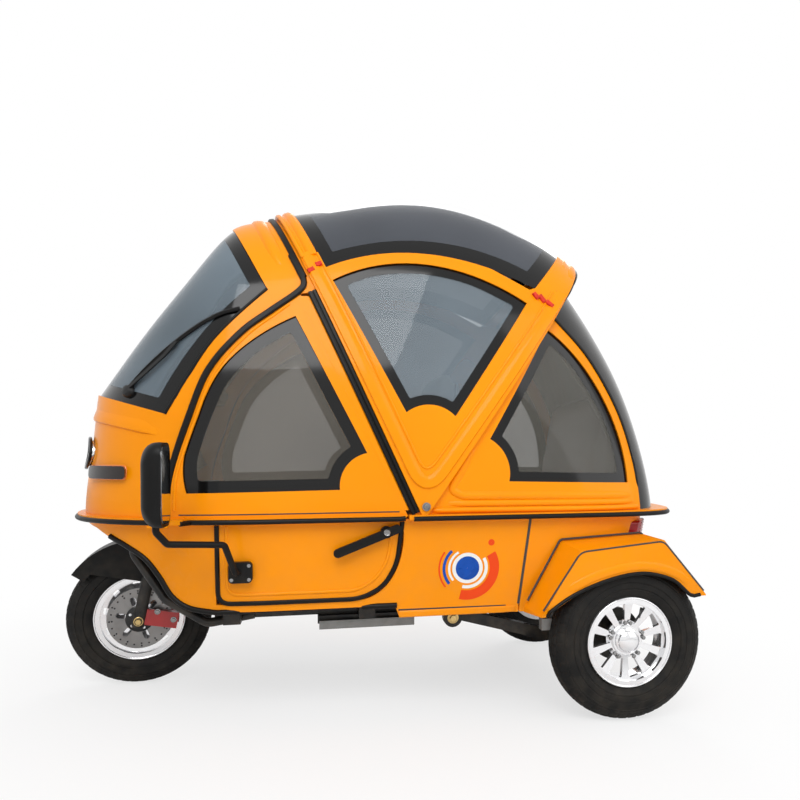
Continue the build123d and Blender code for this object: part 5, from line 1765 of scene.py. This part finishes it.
# ------------------------------------------------------------------ cabin
@dataclass(frozen=True)
class Cushion:
    """A stuffed seat part: a crowned pad that may be tilted, with piping round its edge."""

    name: str
    centre: tuple[float, float, float]
    size: tuple[float, float, float]
    tilt: float
    node: str
    fill: float = 0.7
    finish: Finish = VINYL_LIGHT
    channels: int = 0

    def build(self) -> None:
        """Makes the pad, swells it with cloth and adds its seams."""
        at = Matrix.Translation(deck(*self.centre)) @ Matrix.Rotation(PITCH + self.tilt, 4, "Y")
        mesh = bpy.data.meshes.new(self.name)
        work = bmesh.new()
        bmesh.ops.create_cube(work, size=1.0)
        bmesh.ops.subdivide_edges(work, edges=work.edges, cuts=7, use_grid_fill=True)
        for vert in work.verts:
            x, y, z = vert.co * 2
            edge = max(abs(x), abs(y))
            crown = 1.0 - 0.20 * edge ** 3
            pull = 1.0 - 0.035 * (abs(x) ** 4 + abs(y) ** 4) * (1 - abs(z) ** 2 * 0.3)
            corner = (x * x * y * y) ** 2
            shrink = 1.0 - 0.07 * corner
            round_side = 1.0 - 0.06 * abs(z) ** 3
            vert.co = Vector((
                x / 2 * self.size[0] * pull * shrink * round_side,
                y / 2 * self.size[1] * pull * shrink * round_side,
                z / 2 * self.size[2] * crown,
            ))
        work.to_mesh(mesh)
        work.free()
        pad = bpy.data.objects.new(self.name, mesh)
        bpy.context.scene.collection.objects.link(pad)
        remesh = pad.modifiers.new("remesh", "REMESH")
        remesh.mode = "VOXEL"
        remesh.voxel_size = 0.007
        apply_all(pad)
        swell(pad, 0.010)
        for vert in pad.data.vertices:
            self._channel(vert)
        soft = pad.modifiers.new("soft", "SUBSURF")
        soft.levels = 1
        soft.render_levels = 1
        apply_all(pad)
        pad.data.transform(at)
        pad.data.materials.append(self.finish.make())
        pad.data.shade_smooth()
        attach(pad, "body")
        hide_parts(self.node)
        log.info("%s stands for %s with %d faces", self.name, self.node, len(pad.data.polygons))
        piping = Shape()
        half_x, half_y = self.size[0] / 2, self.size[1] / 2
        loop = [
            Vector((sx * half_x * 0.93, sy * half_y * 0.955, self.size[2] * 0.43))
            for sx, sy in ((1, 1), (-1, 1), (-1, -1), (1, -1))
        ]
        loop = filleted([loop[0].lerp(loop[3], 0.5), *loop, loop[0].lerp(loop[3], 0.5)], 0.05, 0.02)[:-1]
        tree = BVHTree.FromPolygons(
            [v.co for v in pad.data.vertices], [tuple(p.vertices) for p in pad.data.polygons]
        )
        path = [tree.find_nearest(at @ p)[0] for p in loop]
        up = (at.to_3x3() @ Vector((0, 0, 1))).normalized()
        piping.strip([(p, up) for p in path], bead(0.007, 0.004, 0.003), closed=True)
        piping.place(f"{self.name}_piping", PLASTIC, "body", Slot.SEAT_COVER)

    def _channel(self, vert: bpy.types.MeshVertex) -> None:
        """Presses sewn channels into the top of the pad.

        Args:
            vert: a point of the pad.
        """
        if not self.channels or vert.co.z <= 0:
            return
        pitch = self.size[1] / (self.channels + 1)
        share = vert.co.y / pitch
        off = abs(share - round(share)) * pitch
        if abs(vert.co.x) < self.size[0] * 0.42 and abs(vert.co.y) < self.size[1] * 0.44:
            vert.co.z -= 0.006 * max(0.0, 1 - off / 0.010)


def apply_all(thing: bpy.types.Object) -> None:
    """Applies every modifier of an object to its mesh.

    Args:
        thing: the object.
    """
    depsgraph = bpy.context.evaluated_depsgraph_get()
    mesh = bpy.data.meshes.new_from_object(thing.evaluated_get(depsgraph))
    thing.modifiers.clear()
    old = thing.data
    thing.data = mesh
    bpy.data.meshes.remove(old)


def swell(thing: bpy.types.Object, cap: float) -> None:
    """Blows a pad up a little as cloth and keeps the result, no point moving further than the cap.

    Args:
        thing: the pad.
        cap: the furthest that a point may move.
    """
    rest = [v.co.copy() for v in thing.data.vertices]
    cloth = thing.modifiers.new("cloth", "CLOTH")
    cloth.settings.use_pressure = True
    cloth.settings.uniform_pressure_force = 4.0
    cloth.settings.effector_weights.gravity = 0.0
    cloth.point_cache.frame_start = 1
    cloth.point_cache.frame_end = 20
    for step in range(1, 21):
        bpy.context.scene.frame_set(step)
    apply_all(thing)
    bpy.context.scene.frame_set(1)
    for vert, start in zip(thing.data.vertices, rest):
        move = vert.co - start
        if move.length > cap:
            vert.co = start + move.normalized() * cap


@dataclass
class Cabin:
    """Seats, dash, controls and trim inside."""

    def build(self) -> None:
        """Adds the inside."""
        for name, centre, size, tilt, node, channels in (
            ("driver_seat_pad", (0.015, 0.0, 0.603), (0.38, 0.45, 0.088), -1, "driver_seat", 3),
            ("driver_seat_back", (-0.222, 0.0, 0.872), (0.455, 0.45, 0.078), -100, "driver_seat", 3),
            ("bench_pad", (-0.640, 0.0, 0.571), (0.30, 0.72, 0.110), -1, "rear_bench", 4),
            ("bench_back", (-0.790, 0.0, 0.830), (0.38, 0.68, 0.085), -100, "rear_bench", 4),
        ):
            Cushion(name, centre, size, radians(tilt), node, channels=channels).build()
        self.controls()
        self.liner()

    def controls(self) -> None:
        """Grips, levers, switches and the display."""
        steer = steering_frame()
        grips, levers = Shape(), Shape()
        for hand in SIDES:
            tip = steer @ Vector((-0.110, hand * 0.245, 0.770))
            near = steer @ Vector((-0.045, hand * 0.110, 0.748))
            inward = (near - tip).normalized()
            at = stand(tip - inward * 0.002, inward)
            section = [(0.014, 0.0), (0.018, 0.002)]
            for k in range(15):
                section.extend([(0.0175, 0.006 + k * 0.0065), (0.0162, 0.0095 + k * 0.0065)])
            section.append((0.021, 0.106))
            grips.turned(at, section, 24)
            block = stand(tip + inward * 0.112, inward)
            grips.turned(block, [(0.017, 0.0), (0.022, 0.003), (0.022, 0.026), (0.017, 0.030)], 20)
            ahead = (steer.to_3x3() @ Vector((1, 0, 0))).normalized()
            path = [
                tip + inward * 0.125 + ahead * 0.020, tip + inward * 0.10 + ahead * 0.042,
                tip + inward * 0.03 + ahead * 0.046, tip - inward * 0.012 + ahead * 0.030
            ]
            levers.tube(smooth_path(path, 0.008), 0.0045, 10)
        grips.place("handlebar_grips", RUBBER, "steering", Slot.BLACK_PLASTIC)
        levers.place("brake_levers", ALLOY, "steering", Slot.POLISHED_ALLOY)
        dash = Shape()
        panel = [
            deck(0.622, y, z) for y, z in ((-0.075, 0.800), (0.075, 0.800), (0.075, 0.850), (-0.075, 0.850))
        ]
        dash.plate(
            [p + from_deck_axis(0.012 if i > 1 else -0.004, 0, 0) for i, p in enumerate(panel)],
            from_deck_axis(0.008, 0, 0)
        )
        dash.place("dash_display", BLACK_GLOSS, "body", Slot.GLOSS_BLACK)

    def liner(self) -> None:
        """A ribbed mat on the cabin floor."""
        mat = Shape()
        for k in range(22):
            y = -0.33 + 0.66 * k / 21
            path = [(deck(x, y, 0.3565), Vector((0, 0, 1))) for x in (0.22, 0.47)]
            mat.strip(path, bead(0.010, 0.004))
        mat.place("floor_mat_ribs", LINER, "body", Slot.FLOOR_GREY)


def steering_frame() -> Matrix:
    """The frame of the parked steering: x forward, y left, z up the steering axis.

    Returns:
        The frame, with its origin at the front axle.
    """
    x = Vector((cos(PARKED_STEER) * cos(RAKE), sin(PARKED_STEER), cos(PARKED_STEER) * sin(RAKE)))
    z = Vector((-sin(RAKE), 0, cos(RAKE)))
    y = z.cross(x)
    turn = Matrix((x, y, z)).transposed().to_4x4()
    return Matrix.Translation(FRONT_AXLE) @ turn


# ------------------------------------------------------------------ hardware
@dataclass
class Hardware:
    """Door handles, mirrors, brake and lamps."""

    def build(self) -> None:
        """Adds the small hardware."""
        for hand, side in zip(SIDES, ("left", "right")):
            self.handle(hand, side)
            self.mirror(hand, side)
        self.brake()
        self.tail_lamps()

    def handle(self, hand: int, side: str) -> None:
        """The chrome key lock and its rose on the door handle.

        Args:
            hand: the left side (1) or the right (-1).
            side: the side's name.
        """
        shape = Shape()
        skin = Skin(f"{side}_door_handle", f"{side}_door_panel")
        point, _ = skin.flank(-0.012, 0.572, hand)
        at = stand(point, Vector((0, hand, 0)))
        shape.turned(at, [(0.010, -0.002), (0.010, 0.003), (0.0085, 0.0045), (0.0075, 0.004)], 28)
        shape.place(f"{side}_door_key", CHROME, f"{side}_door", Slot.POLISHED_ALLOY)

    def mirror(self, hand: int, side: str) -> None:
        """The mirror's glass and the bracket's bolts.

        Args:
            hand: the left side (1) or the right (-1).
            side: the side's name.
        """
        glass, bolts = Shape(), Shape()
        rear = 0.594 - 0.0242
        outline = []
        for k in range(48):
            a = 2 * pi * k / 48
            e = 0.45
            c, s = cos(a), sin(a)
            y = abs(c) ** e * (1 if c >= 0 else -1) * 0.056
            z = abs(s) ** e * (1 if s >= 0 else -1) * 0.100
            outline.append(deck(rear, hand * 0.655 + y, 0.728 + z))
        glass.plate(outline, from_deck_axis(-0.0015, 0, 0))
        glass.place(f"{side}_mirror_glass", MIRROR_GLASS, f"{side}_door", Slot.POLISHED_ALLOY)
        skin = Skin(f"{side}_mirror")
        for dx, dz in ((-0.024, 0.020), (0.024, 0.020), (-0.024, -0.020), (0.024, -0.020)):
            point, _ = skin.flank(0.406 + dx, 0.465 + dz, hand)
            bolt(bolts, point, Vector((0, hand, 0)), 0.004, 1.4)
        bolts.place(f"{side}_bracket_bolts", CHROME, f"{side}_door", Slot.POLISHED_ALLOY)

    def brake(self) -> None:
        """The caliper's bolts and the axle nut on the fork."""
        steer = steering_frame()
        turn = steer.to_3x3()
        normal = (turn @ Vector((0, 1, 0))).normalized()
        bolts, nut = Shape(), Shape()
        for x, z in ((-0.050, 0.036), (-0.104, 0.016)):
            bolt(bolts, steer @ Vector((x, 0.083, z)), normal, 0.0065)
        for hand in SIDES:
            way = (turn @ Vector((0, hand, 0))).normalized()
            bolt(nut, steer @ Vector((0, hand * 0.0985, 0)), way, 0.010)
        bolts.place("caliper_bolts", CHROME, "steering", Slot.POLISHED_ALLOY)
        nut.place("axle_nuts", BRASS, "steering", Slot.POLISHED_ALLOY)

    def tail_lamps(self) -> None:
        """The reflectors' ribs on the tail lamps."""
        shape = Shape()
        skin = Skin("tail_lamps")
        for hand in SIDES:
            for k in range(4):
                rows = [
                    skin.cast(
                        deck(-1.2, hand * (0.335 + 0.020 * j), 0.547 + 0.009 * k), from_deck_axis(0.3, 0, 0)
                    )
                    for j in range(5)
                ]
                shape.strip(rows, bead(0.004, 0.0015))
        shape.place("tail_lamp_ribs", LENS_RED, "body", Slot.RED_LENS)


# ------------------------------------------------------------------ stage
@dataclass(frozen=True)
class Studio:
    """Floor, light and camera."""

    place: tuple[float, float, float] = (0.2278, 2.6705, 0.8039)
    yaw: float = 0.21155
    roll: float = 0.0439
    lens: float = 33.2
    shift: tuple[float, float] = (-0.0942, 0.0723)

    def build(self) -> None:
        """Sets the stage."""
        bpy.context.scene.view_settings.view_transform = "Standard"
        self.camera()
        self.floor()
        self.lights()

    def camera(self) -> None:
        """The camera that sees the vehicle's left side."""
        forward = Vector((-sin(self.yaw), -cos(self.yaw), 0))
        right = Vector((-cos(self.yaw), sin(self.yaw), 0))
        up = Vector((0, 0, 1))
        across = right * cos(self.roll) + up * sin(self.roll)
        upward = up * cos(self.roll) - right * sin(self.roll)
        data = bpy.data.cameras.new("camera")
        data.lens = self.lens
        data.sensor_width = 36.0
        data.shift_x, data.shift_y = self.shift
        data.clip_start = 0.02
        made = bpy.data.objects.new("camera", data)
        turn = Matrix((across, upward, -forward)).transposed().to_4x4()
        made.matrix_world = Matrix.Translation(self.place) @ turn
        bpy.context.scene.collection.objects.link(made)
        bpy.context.scene.camera = made

    def floor(self) -> None:
        """A plain pale floor."""
        mesh = bpy.data.meshes.new("floor")
        size = 14.0
        mesh.from_pydata(
            [(-size, -size, -0.0008), (size, -size, -0.0008), (size, size, -0.0008), (-size, size, -0.0008)],
            [], [(0, 1, 2, 3)]
        )
        mesh.materials.append(self.floor_material())
        made = bpy.data.objects.new("floor", mesh)
        bpy.context.scene.collection.objects.link(made)

    @staticmethod
    def floor_material() -> bpy.types.Material:
        """A pale floor that keeps the shadow near the vehicle and turns white further out.

        Returns:
            The material.
        """
        material = bpy.data.materials.new("pale_floor")
        material.use_nodes = True
        tree = material.node_tree
        shader = tree.nodes["Principled BSDF"]
        shader.inputs["Base Color"].default_value = (0.86, 0.86, 0.86, 1.0)
        shader.inputs["Roughness"].default_value = 0.8
        shader.inputs["Specular IOR Level"].default_value = 0.1
        white = added(tree, "ShaderNodeEmission")
        place = added(tree, "ShaderNodeTexCoord")
        far = added(tree, "ShaderNodeVectorMath", operation="LENGTH")
        spread = added(tree, "ShaderNodeMapRange", {"From Min": 0.6, "From Max": 2.2, "To Min": 0.66})
        spread.interpolation_type = "SMOOTHSTEP"
        path = added(tree, "ShaderNodeLightPath")
        seen = added(tree, "ShaderNodeMath", operation="MULTIPLY")
        mix = added(tree, "ShaderNodeMixShader")
        wire(tree, place, "Object", far, 0)
        wire(tree, far, "Value", spread, "Value")
        wire(tree, spread, "Result", seen, 0)
        wire(tree, path, "Is Camera Ray", seen, 1)
        wire(tree, seen, 0, mix, "Fac")
        wire(tree, shader, 0, mix, 1)
        wire(tree, white, 0, mix, 2)
        tree.links.new(mix.outputs[0], tree.nodes["Material Output"].inputs["Surface"])
        return material

    def lights(self) -> None:
        """A pale sky with one large soft key and a fill."""
        world = bpy.data.worlds.new("studio")
        bpy.context.scene.world = world
        world.use_nodes = True
        tree = world.node_tree
        tree.nodes.clear()
        out = added(tree, "ShaderNodeOutputWorld")
        seen = added(tree, "ShaderNodeBackground", {"Color": (1, 1, 1, 1)})
        lit = added(tree, "ShaderNodeBackground", {"Strength": 0.62})
        place = added(tree, "ShaderNodeTexCoord")
        split = added(tree, "ShaderNodeSeparateXYZ")
        ramp = added(tree, "ShaderNodeValToRGB")
        ramp.color_ramp.elements[0].position = 0.42
        ramp.color_ramp.elements[0].color = (0.34, 0.34, 0.35, 1)
        ramp.color_ramp.elements[1].position = 0.75
        ramp.color_ramp.elements[1].color = (1.0, 1.0, 1.0, 1)
        half = added(tree, "ShaderNodeMath", {1: 0.5, 2: 0.5}, operation="MULTIPLY_ADD")
        path = added(tree, "ShaderNodeLightPath")
        mix = added(tree, "ShaderNodeMixShader")
        wire(tree, place, "Generated", split, 0)
        wire(tree, split, "Z", half, 0)
        wire(tree, half, 0, ramp, "Fac")
        wire(tree, ramp, "Color", lit, "Color")
        seen_by = path.outputs["Is Camera Ray"]
        for kind in ("Is Glossy Ray", "Is Transmission Ray"):
            either = added(tree, "ShaderNodeMath", operation="MAXIMUM")
            tree.links.new(seen_by, either.inputs[0])
            wire(tree, path, kind, either, 1)
            seen_by = either.outputs[0]
        tree.links.new(seen_by, mix.inputs["Fac"])
        wire(tree, lit, 0, mix, 1)
        wire(tree, seen, 0, mix, 2)
        wire(tree, mix, 0, out, "Surface")
        for name, where, energy, size in (
            ("key", (0.9, 4.0, 4.0), 150.0, 3.0),
            ("fill", (-3.2, 3.0, 2.6), 45.0, 3.0),
            ("rear", (-1.0, -4.0, 3.6), 70.0, 3.0),
        ):
            data = bpy.data.lights.new(name, "AREA")
            data.energy = energy
            data.size = size
            made = bpy.data.objects.new(name, data)
            made.location = where
            made.rotation_euler = (Vector((0, 0, 0.7)) - Vector(where)).to_track_quat("-Z", "Y").to_euler()
            bpy.context.scene.collection.objects.link(made)


CAD_FINISHES: tuple[tuple[Finish, tuple[str, ...]], ...] = (
    (
        YELLOW,
        (
            "front_arch", "canopy_sides", "roof_hoops", "quarter_panels", "nose_cowl", "front_fairing",
            "side_panels",
            "rear_body", "rear_fenders", "left_door_panel", "right_door_panel", "belt_flange",
        ),
    ),
    (BLACK_GLOSS, ("rear_cover",)),
    (
        PLASTIC,
        (
            "front_fender", "left_mirror", "right_mirror", "left_door_handle", "right_door_handle", "dash",
            "battery_pack"
        ),
    ),
    (FRAME_BLACK, ("chassis_frame", "front_loop", "rear_axle", "front_fork", "handlebar")),
    (FLOOR_GREY, ("floor_pan",)), (ALLOY, ("front_rim", "rear_rim_left", "rear_rim_right")),
    (STEEL, ("front_brake_disc",)), (RED_PAINT, ("brake_caliper",)),
    (TYRE, ("front_tyre", "rear_tyre_left", "rear_tyre_right")),
    (VINYL_LIGHT, ("driver_seat", "rear_bench")), (LENS_SMOKE, ("turn_signals",)),
    (LENS_RED, ("tail_lamps",)), (CLEAR, ("headlamps",)),
)


def dress_cad() -> None:
    """Gives every CAD node its procedural material."""
    for finish, names in CAD_FINISHES:
        for name in names:
            paint(name, finish.make())
    for pane in PANES:
        pane.make()


def main() -> None:
    """Builds the whole scene."""
    logging.basicConfig(level=logging.INFO)
    Studio().build()
    dress_cad()
    UpperBody(
        Skin("front_arch", "nose_cowl"),
        Skin("canopy_sides", "roof_hoops", "upper_side_glass"),
        Skin("quarter_panels"),
        Skin("roof_hoops", "canopy_sides", "roof_glass"),
    ).build()
    LowerBody(
        Skin("side_panels", "rear_body", "front_fairing"), Skin("nose_cowl"), Skin("rear_fenders")
    ).build()
    names = ("front", "front_wheel", "front_tyre")
    Wheel(*names, steering_frame(), FRONT_AXLE[2], width=0.092, lip_half=0.038, front=True).build()
    for hand, side in zip(SIDES, ("left", "right")):
        at = Matrix.Translation((REAR_AXLE_X, hand * REAR_HALF_TRACK, REAR_TYRE_RADIUS))
        names = (f"rear_{side}", f"rear_wheel_{side}", f"rear_tyre_{side}")
        Wheel(*names, at, REAR_TYRE_RADIUS, width=0.112, lip_half=0.045, hand=hand).build()
    Cabin().build()
    Hardware().build()


if __name__ == "__main__":
    main()
